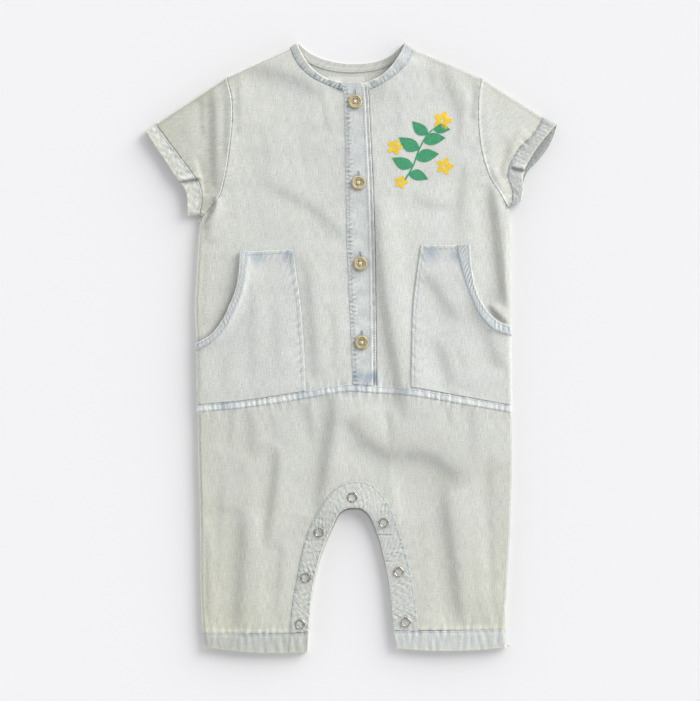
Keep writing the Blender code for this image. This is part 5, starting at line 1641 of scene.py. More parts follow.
@dataclass
class Opening:
    """The button strip, the strip under it and the waist strip."""

    finishes: Finishes
    pucker: float = 0.22 * MM
    corner_start: float = 0.965  # share of the strip's length below its rounded top

    def placket(self) -> Patch:
        """The button strip: a crisp pale east edge and a puckered blue line along the west one."""
        top, above = PLACKET_SIDES[0].y * MM, WAIST_STRIP / 2 + GAP
        west, east = (placket_line(side, 0.0, placket_foot(side, 0.0, above), top) for side in ("west", "east"))
        upward = np.concatenate([np.linspace(0, self.corner_start, 340), np.linspace(self.corner_start, 1, 24)[1:]])
        grid = band(at_fractions(west, upward), at_fractions(east, upward)).transpose(1, 0, 2)
        from_west, from_east, low, high = margins(grid)
        rope = ripple(low, from_west, 4.5 * MM, 71, 7, 0.9) * bell(from_west, 2.5 * MM, 3.5 * MM)
        mottle = ripple(low, from_west, 15 * MM, 72, 7, 0.9)
        lower = np.clip(high / (16 * MM), 0, 1)
        edge = np.minimum(np.minimum(from_west + (1 - lower) * MM, from_east), high)
        lift = PRESSED * (0.55 + 0.45 * risen(from_west, 3 * MM)) + self.pucker * (rope + 0.3 * mottle)
        lift -= 0.35 * TRIM * rounded(edge, 0.8 * MM)
        groove = bell(from_west, 3.2 * MM, 0.6 * MM) + bell(from_east, 2.4 * MM, 0.5 * MM)
        fade = -0.08 + 0.3 * rope + 0.1 * mottle - 0.2 * groove
        fade = fade * (0.3 + 0.7 * lower) + 0.3 * bell(from_east, 0.5 * MM, 0.7 * MM)
        fade += 0.15 * bell(from_west, 0.4 * MM, 0.8 * MM) * lower
        fade -= 0.6 * bell(low, 8 * MM, 5 * MM)
        # painted shade on the top edge, which faces the light, and painted shadow in each buttonhole's slit and round
        # each button
        shade = 1 - 0.14 * bell(high, 0.0, 1.4 * MM)
        for x, y in BUTTONS:
            slit = bell(grid[..., 0], x * MM, 0.8 * MM) * bell(grid[..., 1], (y + BUTTONHOLE) * MM, 3 * MM)
            ring = bell(np.hypot(grid[..., 0] - x * MM, grid[..., 1] - y * MM), BUTTON_RADIUS + 0.4 * MM, MM)
            shade = shade * (1 - 0.5 * slit) * (1 - 0.22 * ring)
        return Patch(grid, Face.FRONT, lift - 0.1 * MM * groove, GAP / 2, fade, 0.05, shade)

    def under(self) -> Patch:
        """The strip between the fronts, whose pale folded edge shows past the button strip."""
        west, east = (
            placket_line(side, shift, placket_foot(side, shift, GAP), UNDER_PLACKET_TOP)
            for side, shift in (("west", PLACKET_SEAM + GAP), ("east", UNDER_PLACKET))
        )
        upward = np.linspace(0, 1, 300)
        grid = band(at_fractions(west, upward), at_fractions(east, upward)).transpose(1, 0, 2)
        _, from_east, low, high = margins(grid)
        lift = 0.5 * MM * bell(from_east, 1.0 * MM, 0.9 * MM) - 0.7 * CLOTH * rounded(np.minimum(from_east, high), 0.8 * MM)
        fade = 0.35 * bell(from_east, 0.8 * MM, 0.8 * MM) + 0.2 * ripple(low, from_east, 9 * MM, 73)
        fade -= 1.2 * bell(low, 10 * MM, 8 * MM)
        return Patch(grid, Face.FRONT, lift, fade=fade, warm=0.1)

    def waist_strip(self) -> Patch:
        """The strip over the waist seam, roped between its two rows of stitches."""
        edges = []
        for shift in (-WAIST_STRIP / 2, WAIST_STRIP / 2):
            ends = (side_x(side, height_on(WAIST, x) + shift) for side, x in WAIST_ENDS.items())
            edges.append(stations(stretch_of(WAIST, *ends, shift), TRIM_STEP, End.FOLD, End.FOLD))
        grid = band(*edges, step=0.7 * MM)
        along, _, low, high = margins(grid)
        rope = ripple(along, low, 3.4 * MM, 74, 7, 0.6) * bell(low, WAIST_STRIP / 2, 2.8 * MM)
        rope *= 0.7 + 0.3 * ripple(along, low, 60 * MM, 75)
        edge = np.minimum(low, high)
        groove = bell(edge, 1.1 * MM, 0.4 * MM)
        lift = 0.6 * PRESSED + 0.08 * MM * rope - 0.25 * TRIM * rounded(edge, 0.8 * MM) - 0.05 * MM * groove
        blue = 0.12 * ripple(along, low, 70 * MM, 76)
        for x, width in WAIST_BLUE:
            blue = blue - 0.35 * bell(grid[..., 0], x * MM, width * MM)
        east = np.clip(grid[..., 0] / (80 * MM), 0, 1)
        fade = 0.06 + blue + 0.15 * rope - 0.1 * groove
        fade -= (0.45 - 0.25 * east) * bell(high, 0.4 * MM, 0.55 * MM) + 0.3 * bell(low, 0.4 * MM, 0.5 * MM)
        return Patch(grid, Face.FRONT, lift, GAP / 2, fade, 0.0)

    def build(self) -> dict[str, Shell]:
        """Builds the three strips and returns them by node name."""
        made = {}
        for node, cut in (
            ("placket_under", self.under()),
            ("placket", self.placket()),
            ("waist_strip", self.waist_strip()),
        ):
            made[node] = sew(node, [cut], self.finishes.trim, "denim")
        declare(made["placket"], [self.placket()], ["cloth_front_bodice_right"], made["placket_under"].object)
        return made


@dataclass
class Pocket:
    """A patch pocket with a curved opening at its outer side, and the opening's binding."""

    finishes: Finishes
    side: str
    worn: str
    mouth: float  # how far the opening stands off the front
    peak: float  # where along it, from the side up, it stands off most
    binding_fade: float

    def mouth_line(self, shift: float) -> Array:
        """Stations up the seam of the opening's binding, moved towards the pocket by shift."""
        path = curve([row[:2] for row in POCKET_BINDINGS[self.side]])[::-1]
        return stations(beside(path, -shift if self.side == "west" else shift), TRIM_STEP, End.FOLD, End.EDGE)

    def open_height(self, share: Array) -> Array:
        """How far the mouth stands open along it: none at its foot, most at its peak, less again at its top."""
        share = np.clip(share, 0, 1)
        return self.mouth * np.clip(6 * share, 0, 1) * np.clip(0.65 + 3 * (1 - share), 0, 1) * bell(share, self.peak, 0.55)

    def bag(self) -> Patch:
        """The pocket itself, with a rubbed turned edge and a blue stitched line inside it."""
        above = WAIST_STRIP / 2 + GAP / 2
        seam = self.mouth_line(SEAM)
        low_y = height_on(WAIST, WAIST_ENDS[self.side]) + above
        body = stations(side_edge(self.side, low_y, seam[0, 1]), PANEL_STEP, End.EDGE, End.PLAIN)
        outer = chain(body[:-1], seam)
        inner = curve(POCKET_INNER[self.side])[::-1]
        inner = inner[inner[:, 1] > height_on(WAIST, inner[0, 0]) + above]
        high = stations(np.vstack([outer[-1:], inner[-1:]]), PANEL_STEP, End.FOLD, End.EDGE)
        low = stretch_of(WAIST, outer[0, 0], inner[0, 0], above)
        grid = patch(low, high, outer, inner)
        from_mouth, from_side, south, north = margins(grid)
        share = (np.arange(len(outer)) - len(body) + 1)[:, None] / len(seam)
        lifted = self.open_height(share) * np.exp(-from_mouth / (7 * MM)) * (share > 0)
        sewn = np.minimum(from_side, north)
        groove = bell(sewn, 3.4 * MM, 0.6 * MM)
        rope = ripple(south + from_side, sewn, 8 * MM, 81 if self.side == "west" else 82, 7, 0.8)
        rope *= bell(sewn, 4 * MM, 6 * MM)
        lift = PRESSED + lifted + 0.12 * MM * rope - 0.1 * MM * groove
        lift -= 0.4 * TRIM * np.clip(rounded(sewn, 0.5 * MM) + rounded(south, 0.7 * MM), 0, 1)
        fade = -0.06 + 0.2 * rope - 0.2 * groove
        for x, y, reach in POCKET_BLUE[self.side]:
            fade = fade - 0.55 * bell(np.hypot(grid[..., 0] - x * MM, grid[..., 1] - y * MM), 0.0, reach * MM)
        fade -= 0.3 * bell(from_mouth, 0.4 * MM, 0.8 * MM) * (share > 0)
        # painted shade along the sewn edges, to dim their lit rims
        shade = 1 - 0.12 * bell(sewn, 0.0, 0.5 * MM)
        return Patch(grid, Face.FRONT, lift, GAP / 2, fade, 0.5 * cream_cast_and_painted_shade(grid), shade).towards(self.side)

    def binding(self) -> Patch:
        """The binding round the opening, roped between two rows of stitches, with a pale free edge."""
        seam = self.mouth_line(-SEAM)
        edge = at_fractions(curve([row[2:] for row in POCKET_BINDINGS[self.side]])[::-1], shares(seam))
        grid = band(seam, edge, 0.6 * MM).transpose(1, 0, 2)[:, ::-1]
        free, sewn, along, _ = margins(grid)
        share = along / along[-1:]
        rope = ripple(along, sewn, 3.6 * MM, 83 if self.side == "west" else 84, 7, 0.5)
        width = (free + sewn).mean()
        rope = rope * bell(sewn, 0.45 * width, 0.4 * width)
        groove = bell(sewn, 1.3 * MM, 0.4 * MM) + bell(free, 2.0 * MM, 0.4 * MM)
        lift = PRESSED + GAP + self.open_height(share) + 0.1 * MM * rope - 0.1 * MM * groove
        lift -= 0.5 * TRIM * rounded(np.minimum(free, sewn), 0.8 * MM)
        fade = self.binding_fade + 0.4 * rope - 0.2 * groove + 0.25 * bell(free, 0.5 * MM, 0.7 * MM)
        return Patch(grid, Face.FRONT, lift, GAP, fade, 0.05).towards(self.side)

    def build(self) -> dict[str, Shell]:
        """Builds the pocket and its binding, and returns them by node name."""
        made = {}
        node = f"pocket_binding_{self.worn}"
        made[node] = sew(node, [self.binding()], self.finishes.trim, "trim_cloth")
        cut = [self.bag()]
        bag = sew(f"pocket_{self.worn}", cut, self.finishes.front, "denim")
        declare(bag, cut, [f"cloth_front_bodice_{self.worn}"], made[node].object)
        made[f"pocket_{self.worn}"] = bag
        return made


# Stitches, buttons and snaps.


@dataclass(frozen=True)
class Row:
    """A row of stitches: the piece that it is sewn on, its plan line and its stitch length."""

    on: str
    path: Array
    pitch: float = 2.5 * MM
    below: bool = False


def seat(skin: BVHTree, points: Array, below: bool = False) -> tuple[Array, Array, Array]:
    """Drops plan points on a skin.

    Args:
        skin: the surface.
        points: plan points.
        below: seat them on an underside, from below.

    Returns:
        The places, the surface's way out there, and which of the points met it.
    """
    start, way = (-0.05, Vector((0, 0, 1))) if below else (0.05, Vector((0, 0, -1)))
    hits = [skin.ray_cast(Vector((x, y, start)), way) for x, y in points]
    met = np.array([hit[0] is not None for hit in hits])
    places = np.array([tuple(hit[0]) if hit[0] else (0.0, 0.0, 0.0) for hit in hits])
    normals = np.array([tuple(hit[1]) if hit[0] else (0.0, 0.0, 1.0) for hit in hits])
    return places, normals, met


@dataclass
class Stitching:
    """All the topstitching: each stitch a short thread that dips into the cloth at both ends."""

    finishes: Finishes
    skins: dict[str, Shell]
    radius: float = 0.29 * MM
    covered: float = 0.66  # share of the pitch that the thread covers
    rings: tuple[float, ...] = (-1.0, -0.6, 0.0, 0.6, 1.0)
    sides: int = 6

    def rows(self) -> list[Row]:
        """Every row of stitches, by the seam that it holds."""
        waist = {shift: stretch_of(WAIST, -0.1425, 0.1485, shift) for shift in (-2.3 * MM, 2.3 * MM)}
        found = [Row("waist_strip", path) for path in waist.values()]
        found.append(Row("placket", placket_line("west", 3.2 * MM, -0.032, 0.246)))
        found.append(Row("placket", placket_line("east", -2.4 * MM, -0.032, 0.243)))
        found.append(Row("placket_under", placket_line("east", UNDER_PLACKET - 0.9 * MM, -0.034, 0.246)))
        seam, arch = curve(FACING_SEAM), ARCH[(ARCH[:, 1] > -0.2655)]
        found.append(Row("crotch_facing", beside(seam, -1.3 * MM)))
        found.append(Row("crotch_facing", beside(arch, 1.6 * MM)))
        found.append(Row("crotch_facing", np.array(FACING_JOIN) * MM, 1.8 * MM))
        found.append(Row("back_lower", stretch_of(WAIST, -0.138, 0.144, -2.2 * MM), below=True))
        found.append(Row("back_bodice", stretch_of(WAIST, -0.138, 0.144, 2.2 * MM), below=True))
        found.append(Row("neck_band_back", beside(curve(BACK_NECK_SEAM), 1.6 * MM)[20:-20]))
        found.append(Row("neck_band_back", beside(curve(BACK_NECK_EDGE), -1.6 * MM)[20:-20]))
        found.append(Row("neck_band_back", beside(curve(BACK_NECK_SEAM), 1.6 * MM)[20:-20], below=True))
        for side, worn in (("west", "right"), ("east", "left")):
            found += self.side_rows(side, worn)
        return found

    def side_rows(self, side: str, worn: str) -> list[Row]:
        """The rows of one side of the garment: hems, cuff, neck binding, pocket and its binding."""
        left = 1 if side == "west" else -1
        hem = HEM_SEAMS[side]
        ends = sorted([HEM_ENDS[side] * 0.985, inside_leg_x(side, -0.268) * 1.03])
        found = [Row(f"hem_front_{worn}", stretch_of(hem, *ends, -1.5 * MM))]
        found.append(Row(f"hem_back_{worn}", stretch_of(hem, *ends, -1.5 * MM), below=True))
        found.append(Row(f"cuff_{worn}", cuff_seam(side, -1.5 * MM)[4:-4]))
        found.append(Row(f"cuff_{worn}", cuff_seam(side, -1.5 * MM)[4:-4], below=True))
        found.append(Row(f"neck_binding_{worn}", beside(column(NECK_SEAMS, side), left * 1.4 * MM)[8:]))
        inner = curve(POCKET_INNER[side])
        found.append(Row(f"pocket_{worn}", beside(inner, -left * 3.4 * MM)[6:]))
        top = np.array([POCKET_BINDINGS[side][0][:2], POCKET_INNER[side][0]]) * MM
        found.append(Row(f"pocket_{worn}", beside(top, -left * 3.2 * MM)))
        seam = curve([row[:2] for row in POCKET_BINDINGS[side]])
        edge = curve([row[2:] for row in POCKET_BINDINGS[side]])
        found.append(Row(f"pocket_binding_{worn}", beside(seam, -left * 1.2 * MM)))
        found.append(Row(f"pocket_binding_{worn}", beside(edge, left * 1.8 * MM)))
        return found

    def threads(self, row: Row) -> Array:
        """Points of every stitch of a row: rings along each, thinner at its ends, on the cloth.

        Args:
            row: the row.

        Returns:
            Stitches x rings x sides x 3.
        """
        length = run_length(row.path)[-1]
        centres = (np.arange(int(length / row.pitch)) + 0.5) * row.pitch / length
        half = 0.5 * self.covered * row.pitch / length
        skin = self.skins[row.on].skin()
        before, _, met_before = seat(skin, at_fractions(row.path, centres - half), row.below)
        after, _, met_after = seat(skin, at_fractions(row.path, centres + half), row.below)
        middle, normal, met = seat(skin, at_fractions(row.path, centres), row.below)
        level = abs(before[:, 2] - after[:, 2]) < 1.5 * MM
        kept = met & met_before & met_after & level
        before, after, middle, normal = before[kept], after[kept], middle[kept], normal[kept]
        along = after - before
        reach = np.linalg.norm(along, axis=1)[:, None]
        along = along / reach
        side = np.cross(normal, along)
        side /= np.linalg.norm(side, axis=1)[:, None]
        t = np.array(self.rings)[None, :, None, None]
        turn = (np.arange(self.sides) * 2 * math.pi / self.sides)[None, None, :, None]
        thick = self.radius * (1 - 0.75 * t**4)
        height = 0.35 * self.radius - 1.1 * self.radius * t**2
        centre = middle[:, None, None] + along[:, None, None] * t * reach[:, None, None] / 2
        centre = centre + normal[:, None, None] * height
        return centre + thick * (np.cos(turn) * side[:, None, None] + np.sin(turn) * normal[:, None, None])

    def build(self) -> bpy.types.Object:
        """Builds all rows as one piece of closed threads and returns it."""
        rings, sides = len(self.rings), self.sides
        threads = np.concatenate([self.threads(row) for row in self.rows()])
        count = len(threads)
        ring, turn = np.meshgrid(np.arange(rings - 1), np.arange(sides), indexing="ij")
        here, beyond = ring * sides + turn, ring * sides + (turn + 1) % sides
        squares = np.stack([here, beyond, beyond + sides, here + sides], axis=-1).reshape(-1, 4)
        caps = np.array([[0, 3, 2, 1], [0, 5, 4, 3]])
        last = (rings - 1) * sides
        ends = np.vstack([caps, last + caps[:, ::-1]])
        single = np.vstack([squares, ends])
        faces = (single[None] + np.arange(count)[:, None, None] * rings * sides).reshape(-1, 4)
        mesh = mesh_of("topstitching", threads.reshape(-1, 3), faces, 70.0)
        log.info("stitches: %d", count)
        return add_piece("topstitching", mesh, self.finishes.thread, "trim_cloth")


def revolved(profile: Array, turns: int, centre: Array) -> tuple[Array, Array]:
    """A closed turned surface: each profile point carried round the upright axis.

    Args:
        profile: (radius, height) points of a closed outline.
        turns: steps round.
        centre: where the axis stands.

    Returns:
        Points and squares.
    """
    angle = np.arange(turns) * 2 * math.pi / turns
    radius, height = profile.T
    points = np.stack([np.outer(np.cos(angle), radius), np.outer(np.sin(angle), radius),
                       np.broadcast_to(height, (turns, len(profile)))], axis=2).reshape(-1, 3)
    turn, step = np.meshgrid(np.arange(turns), np.arange(len(profile)), indexing="ij")
    ahead, up = (turn + 1) % turns * len(profile), (step + 1) % len(profile)
    here = turn * len(profile)
    squares = np.stack([here + step, ahead + step, ahead + up, here + up], axis=-1).reshape(-1, 4)
    return points + centre, squares


@dataclass
class Buttons:
    """Four dished four-hole buttons, their crossed threads and the buttonholes behind them."""

    finishes: Finishes
    skin: BVHTree
    height: float = 2.2 * MM
    hole: float = 1.0 * MM
    pitch: float = 3.1 * MM
    rings: int = 34
    turns: int = 72

    def place(self, x: float, y: float) -> Array:
        """Where a button's underside is: just over the cloth's highest point under it."""
        turn = np.arange(12) * math.pi / 6
        around = np.stack([x + BUTTON_RADIUS * np.cos(turn), y + BUTTON_RADIUS * np.sin(turn)], axis=1)
        places, _, met = seat(self.skin, np.vstack([around, [(x, y)]]))
        return np.array([x, y, places[met][:, 2].max() + 0.1 * MM])

    def disc(self, at: Array) -> tuple[Array, Array]:
        """One button: a domed underside, a raised rim, a dished middle and four sunk holes.

        The top is a polar grid whose height falls from the rim to the dish and drops by a smooth step
        inside each hole. The last ring closes under the rim.

        Args:
            at: the middle of its underside.

        Returns:
            Points and faces.
        """
        share = np.linspace(0, 1, self.rings)
        radius = BUTTON_RADIUS * np.where(share < 0.82, share / 0.82, 1.0)
        rim = np.clip((share - 0.82) / 0.18, 0, 1)
        radius = radius - 0.5 * MM * rim**2
        rho = radius / BUTTON_RADIUS
        top = self.height * (0.74 + 0.26 * bell(rho, 0.84, 0.12))
        top = np.where(share < 0.82, top - self.height * 0.45 * np.clip((rho - 0.88) / 0.12, 0, 1) ** 2, top)
        side = top[np.searchsorted(share, 0.82) - 1] * (1 - rim)
        height = np.where(share < 0.82, top, side)
        angle = np.arange(self.turns) * 2 * math.pi / self.turns
        x, y = np.outer(radius, np.cos(angle)), np.outer(radius, np.sin(angle))
        z = np.broadcast_to(height[:, None], x.shape).copy()
        for side_x in (-1, 1):
            for side_y in (-1, 1):
                away = np.hypot(x - side_x * self.pitch / 2, y - side_y * self.pitch / 2)
                z -= 1.1 * MM * (1 / (1 + np.exp((away - self.hole) / (0.1 * MM)))) * (share[:, None] < 0.8)
        points = np.dstack([x, y, z]).reshape(-1, 3)
        ring, turn = np.meshgrid(np.arange(self.rings - 1), np.arange(self.turns), indexing="ij")
        here, beyond = ring * self.turns + turn, ring * self.turns + (turn + 1) % self.turns
        squares = np.stack([here, here + self.turns, beyond + self.turns, beyond], axis=-1).reshape(-1, 4)
        last = (self.rings - 1) * self.turns
        index = np.arange(self.turns)
        closing = np.stack([last + index, np.full(self.turns, len(points)), np.full(self.turns, len(points)),
                            last + (index + 1) % self.turns], axis=1)
        points = np.vstack([points, [(0.0, 0.0, 0.0)]])
        return points + at, np.vstack([squares, closing])

    def bar(self, start: Array, end: Array, radius: float, rise: float) -> tuple[Array, Array]:
        """A thread from one hole to another: a tube along a low arch.

        Args:
            start: one end.
            end: the other.
            radius: the thread's.
            rise: how high it arches.

        Returns:
            Points and squares.
        """
        t = np.linspace(0, 1, 9)[:, None]
        line = start + (end - start) * t + np.array([0, 0, 1]) * rise * np.sin(math.pi * t)
        along = (end - start) / np.linalg.norm(end - start)
        side = np.cross((0, 0, 1), along)
        turn = np.arange(8) * math.pi / 4
        ring = np.cos(turn)[:, None] * side + np.sin(turn)[:, None] * np.array([0, 0, 1])
        points = (line[:, None] + radius * ring[None]).reshape(-1, 3)
        row, step = np.meshgrid(np.arange(8), np.arange(8), indexing="ij")
        here, beyond = row * 8 + step, row * 8 + (step + 1) % 8
        squares = np.stack([here, beyond, beyond + 8, here + 8], axis=-1).reshape(-1, 4)
        caps = np.array([[0, 3, 2, 1], [0, 5, 4, 3], [0, 7, 6, 5]])
        return points, np.vstack([squares, caps, 64 + caps[:, ::-1]])

    def build(self) -> None:
        """Builds the buttons, their thread crosses and the buttonholes."""
        threads, count = [], 0
        for number, (x, y) in enumerate(BUTTONS, 1):
            at = self.place(x * MM, y * MM)
            points, faces = self.disc(at)
            mesh = bpy.data.meshes.new(f"button_{number}_disc")
            mesh.from_pydata(points.tolist(), [], [tuple(dict.fromkeys(face)) for face in faces.tolist()])
            merge_and_smooth(mesh)
            add_piece(f"horn_button_{number}", mesh, self.finishes.horn, "button", f"button_{number}")
            half, level = self.pitch / 2, 0.55 * self.height
            for sign in (-1, 1):
                start = at + (-half, -half * sign, level)
                end = at + (half, half * sign, level)
                made, squares = self.bar(start, end, 0.4 * MM, (0.85 + 0.2 * sign) * MM)
                threads.append((made, squares + count))
                count += len(made)
        points, squares = np.vstack([each[0] for each in threads]), np.vstack([each[1] for each in threads])
        add_piece("button_threads", mesh_of("button_threads", points, squares), self.finishes.white, "button")
        self.buttonholes()

    def buttonholes(self) -> None:
        """The worked buttonholes: a long ring of thread upright behind each button, ribbed along it."""
        rings, sides, length, width = 96, 8, 8.6 * MM, 1.25 * MM
        t = np.arange(rings) * 2 * math.pi / rings
        parts, count = [], 0
        faces = []
        for x, y in BUTTONS:
            line = np.stack([x * MM + width * np.cos(t), (y + 2.6) * MM + length * np.sin(t)], axis=1)
            places, _, _ = seat(self.skin, line)
            out = np.stack([np.cos(t) / width, np.sin(t) / length, 0 * t], axis=1)
            out /= np.linalg.norm(out, axis=1)[:, None]
            thick = (0.62 + 0.16 * np.sign(np.sin(24 * t)))[:, None, None] * MM
            turn = (np.arange(sides) * 2 * math.pi / sides)[None, :, None]
            ring = np.cos(turn) * out[:, None] + 0.6 * np.sin(turn) * np.array([0, 0, 1.0])
            parts.append((places[:, None] + thick * ring).reshape(-1, 3))
            row, step = np.meshgrid(np.arange(rings), np.arange(sides), indexing="ij")
            here, ahead = row * sides, (row + 1) % rings * sides
            up = (step + 1) % sides
            squares = np.stack([here + step, ahead + step, ahead + up, here + up], axis=-1).reshape(-1, 4)
            faces.append(squares + count)
            count += rings * sides
        mesh = mesh_of("buttonholes", np.vstack(parts), np.vstack(faces), 80.0)
        add_piece("buttonholes", mesh, self.finishes.thread, "trim_cloth")


def merge_and_smooth(mesh: bpy.types.Mesh) -> None:
    """Joins the points that lie on each other, faces all outwards and shades smooth."""
    import bmesh

    body = bmesh.new()
    body.from_mesh(mesh)
    bmesh.ops.remove_doubles(body, verts=body.verts, dist=0.002 * MM)
    bmesh.ops.recalc_face_normals(body, faces=body.faces)
    body.to_mesh(mesh)
    body.free()
    mesh.shade_smooth()
    mesh.set_sharp_from_angle(angle=math.radians(50))


@dataclass
class Snaps:
    """Seven open ring snaps: a rolled metal ring with the cloth showing inside it."""

    finishes: Finishes
    skin: BVHTree
    tube: float = 0.6 * MM
    height: float = 1.0 * MM

    def build(self) -> None:
        """Builds each ring: an oval section carried round, a little uneven where the prongs bite."""
        middle = SNAP_RADIUS - self.tube
        turn = np.arange(14) * 2 * math.pi / 14
        profile = np.stack([middle + self.tube * np.cos(turn), self.height / 2 * (1 + np.sin(turn))], axis=1)
        for number, (x, y) in enumerate(SNAPS, 1):
            spots = np.arange(8) * math.pi / 4
            around = np.stack([x * MM + middle * np.cos(spots), y * MM + middle * np.sin(spots)], axis=1)
            places, _, met = seat(self.skin, around)
            centre = np.array([x * MM, y * MM, places[met][:, 2].max() - 0.1 * MM])
            points, squares = revolved(profile, 60, centre)
            away = points[:, :2] - centre[:2]
            angle = np.arctan2(away[:, 1], away[:, 0])
            points[:, 2] += 0.12 * MM * np.cos(5 * angle + number) * (points[:, 2] - centre[2]) / self.height
            mesh = mesh_of(f"snap_ring_{number}", points, squares, 60.0)
            add_piece(f"snap_ring_{number}", mesh, self.finishes.snap, "snap", f"snap_{number}")


@dataclass
class ChestPrint:
    """A small printed sprig on the east chest: leaves along a bent stem, and three round flowers."""

    finishes: Finishes
    centre: tuple[float, float] = (66.0, 182.0)
    lift: float = 0.12 * MM
    ink: float = 0.1 * MM

    def blade(self, root: tuple[float, float], length: float, width: float, turn: float) -> Array:
        """A leaf's grid: straight along its rib, pointed at both ends by a sine of the way along.

        Args:
            root: where it leaves the stem, from the sprig's middle, in millimetres.
            length: its length in millimetres.
            width: half its widest part in millimetres.
            turn: the way it points, in degrees from east.

        Returns:
            Plan points.
        """
        t, s = np.meshgrid(np.linspace(0, 1, 22), np.linspace(-1, 1, 9), indexing="ij")
        half = width * np.sin(math.pi * t**0.8) + 0.12
        local = np.dstack([t * length, s * half + 1.2 * np.sin(math.pi * t)])
        way = math.radians(turn)
        spin = np.array([[math.cos(way), math.sin(way)], [-math.sin(way), math.cos(way)]])
        return (local @ spin + np.array(root) + np.array(self.centre)) * MM

    def round_flower(self, middle: tuple[float, float], radius: float) -> Array:
        """A flower's grid in polar form: five petals as a lobed outline round a hollow middle."""
        turn, t = np.meshgrid(np.linspace(0, 2 * math.pi, 61), np.linspace(0.24, 1, 8), indexing="ij")
        edge = radius * t * (0.78 + 0.22 * np.cos(5 * turn))
        local = np.dstack([edge * np.cos(turn), edge * np.sin(turn)])
        return (local + np.array(middle) + np.array(self.centre)) * MM

    def stem(self) -> Array:
        """The stem's grid: a thin ribbon along a curve."""
        line = curve([(-16, -26), (-8, -12), (-2, 4), (6, 18), (18, 28)], 10)
        line = line + np.array(self.centre) * MM
        width = np.linspace(0.8, 0.45, len(line)) * MM
        return np.stack([beside(line, -width), beside(line, width)], axis=1)

    def printed(self, name: str, grids: list[Array], finish: bpy.types.Material) -> None:
        """Lays grids as a thin film of ink on the front.

        Args:
            name: the piece's name.
            grids: plan points of each motif.
            finish: its ink.
        """
        points, faces, first = [], [], 0
        for grid in grids:
            laid = lay(grid, Face.FRONT)
            top, under = laid.at(self.lift + self.ink).reshape(-1, 3), laid.at(self.lift).reshape(-1, 3)
            corner_a, corner_b = grid[1, 0] - grid[0, 0], grid[0, 1] - grid[0, 0]
            upwards = corner_b[0] * corner_a[1] - corner_b[1] * corner_a[0] > 0
            squares = grid_faces(grid.shape[:2], 0, not upwards)
            count = len(top)
            whole = np.vstack([squares, squares[:, ::-1] + count, rim_faces(squares, count)])
            points.append(np.vstack([top, under]))
            faces.append(whole + first)
            first += 2 * count
        mesh = mesh_of(name, np.vstack(points), np.vstack(faces))
        add_piece(name, mesh, finish, "denim")

    def build(self) -> None:
        """Builds stem, leaves and flowers."""
        leaves = [
            self.blade(*row)
            for row in (
                ((-8, -12), 21, 5.6, 158), ((-5, -5), 22, 6.0, 12), ((-2, 4), 22, 6.2, 150),
                ((2, 11), 21, 5.6, 10), ((6, 18), 19, 5.2, 140), ((12, 22), 15, 4.4, 2),
                ((-12, -19), 19, 5.0, -16),
            )
        ]
        self.printed("print_leaves", leaves, self.finishes.leaf)
        self.printed("print_stem", [self.stem()], self.finishes.leaf)
        heads = (((20, 31), 9.0), ((-25, 6), 7.6), ((22, -12), 8.4), ((-19, -27), 6.4))
        flowers = [self.round_flower(middle, radius) for middle, radius in heads]
        self.printed("print_flowers", flowers, self.finishes.petal)


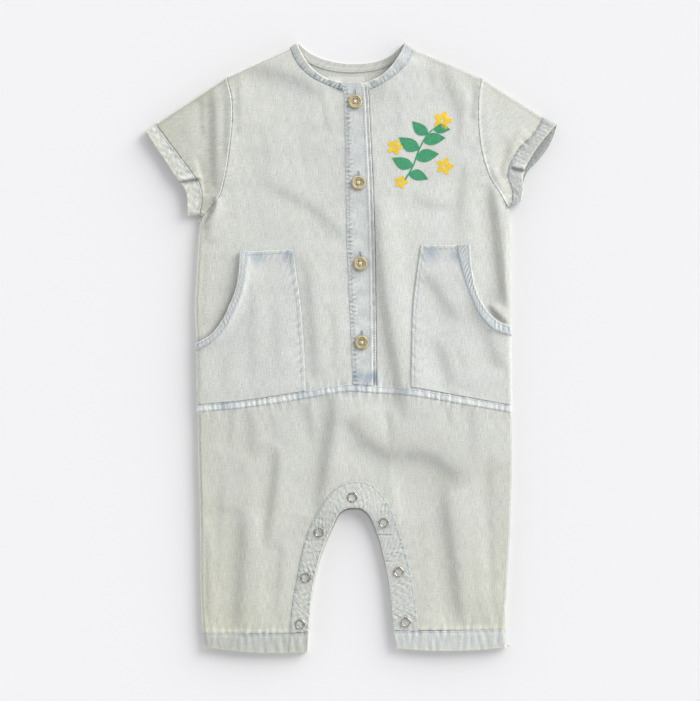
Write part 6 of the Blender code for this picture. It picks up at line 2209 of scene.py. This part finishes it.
@dataclass
class Studio:
    """The pale floor, the soft light from the upper right and the camera above."""

    floor: str = "#F4F4F5"
    sun_from: tuple[float, float, float] = (0.76, 0.60, 0.40)
    sun_size: float = 40.0  # degrees
    sun_strength: float = 2.5
    sky: str = "#FDFDFF"
    zenith: float = 0.26  # radiance overhead
    horizon: float = 2.68  # what the horizon adds to it
    lean: float = 0.42  # how much more of that comes from one side than from the other
    lean_from: tuple[float, float] = (0.55, 0.83)
    pixel: float = 0.94 * MM
    side_pixels: float = 701.0
    aim: tuple[float, float] = (-1.13 * MM, -3.24 * MM)
    lens: float = 100.0
    sensor: float = 36.0

    def build(self) -> None:
        """Builds floor, lights and camera. The picture's long side shows side_pixels of the given size."""
        scene = bpy.context.scene
        scene.view_settings.view_transform = "Standard"
        mesh = bpy.data.meshes.new("floor")
        reach = 4.0
        mesh.from_pydata([(-reach, -reach, 0), (reach, -reach, 0), (reach, reach, 0), (-reach, reach, 0)], [], [(0, 1, 2, 3)])
        floor = bpy.data.objects.new("floor", mesh)
        floor.location.z = -0.2 * MM
        scene.collection.objects.link(floor)
        mesh.materials.append(Plain("paper_floor", self.floor, self.floor, 0.4, 0.9, bump=0.0).material())
        sun = bpy.data.lights.new("window", "SUN")
        sun.energy, sun.angle = self.sun_strength, math.radians(self.sun_size)
        sun.color = (1.0, 0.995, 0.98)
        lamp = bpy.data.objects.new("window", sun)
        lamp.rotation_mode = "QUATERNION"
        lamp.rotation_quaternion = Vector(self.sun_from).to_track_quat("Z", "Y")
        scene.collection.objects.link(lamp)
        world = bpy.data.worlds.new("studio")
        world.use_nodes = True
        tree = world.node_tree
        sky = tree.nodes["Background"]
        sky.inputs["Color"].default_value = linear(self.sky)
        way = add_node(tree, "ShaderNodeTexCoord").outputs["Generated"]
        height = add_node(tree, "ShaderNodeSeparateXYZ", None, in_0=way).outputs["Z"]
        low = add_node(tree, "ShaderNodeMapRange", {"From Min": 1.0, "From Max": 0.0}, Value=height).outputs[0]
        share = add_node(tree, "ShaderNodeMath", {"operation": "POWER", 1: 2.0}, in_0=low).outputs[0]
        level = Vector((*self.lean_from, 0.0)).normalized() * self.lean
        side = add_node(tree, "ShaderNodeVectorMath", {"operation": "DOT_PRODUCT", 1: level}, in_0=way).outputs["Value"]
        settings = {"operation": "MULTIPLY_ADD", 1: self.horizon, 2: self.horizon}
        leant = add_node(tree, "ShaderNodeMath", settings, in_0=side).outputs[0]
        settings = {"operation": "MULTIPLY_ADD", 2: self.zenith}
        glow = add_node(tree, "ShaderNodeMath", settings, in_0=share, in_1=leant).outputs[0]
        tree.links.new(glow, sky.inputs["Strength"])
        scene.world = world
        camera = bpy.data.cameras.new("camera")
        camera.lens, camera.sensor_width = self.lens, self.sensor
        eye = bpy.data.objects.new("camera", camera)
        distance = self.pixel * self.side_pixels * self.lens / self.sensor
        eye.location = (*self.aim, distance + FRONT_TOP)
        scene.collection.objects.link(eye)
        scene.camera = eye


def main() -> None:
    """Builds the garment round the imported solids, then the studio."""
    logging.basicConfig(level=logging.INFO, format="%(message)s")
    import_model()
    finishes = Finishes()
    Studio().build()
    pieces: dict[str, Shell] = {}
    pieces |= Lower(finishes).build()
    pieces |= Bodice(finishes).build()
    pieces |= Sleeve(finishes, "west", "right", 14.0).build()
    pieces |= Sleeve(finishes, "east", "left", 47.0).build()
    pieces |= Neck(finishes).build()
    pieces |= Opening(finishes).build()
    pieces |= Pocket(finishes, "west", "right", 4.6 * MM, 0.65, -0.05).build()
    pieces |= Pocket(finishes, "east", "left", 2.0 * MM, 0.2, -0.2).build()
    Stitching(finishes, pieces).build()
    Buttons(finishes, pieces["placket"].skin()).build()
    Snaps(finishes, pieces["crotch_facing"].skin()).build()
    ChestPrint(finishes).build()


if __name__ == "__main__":
    main()
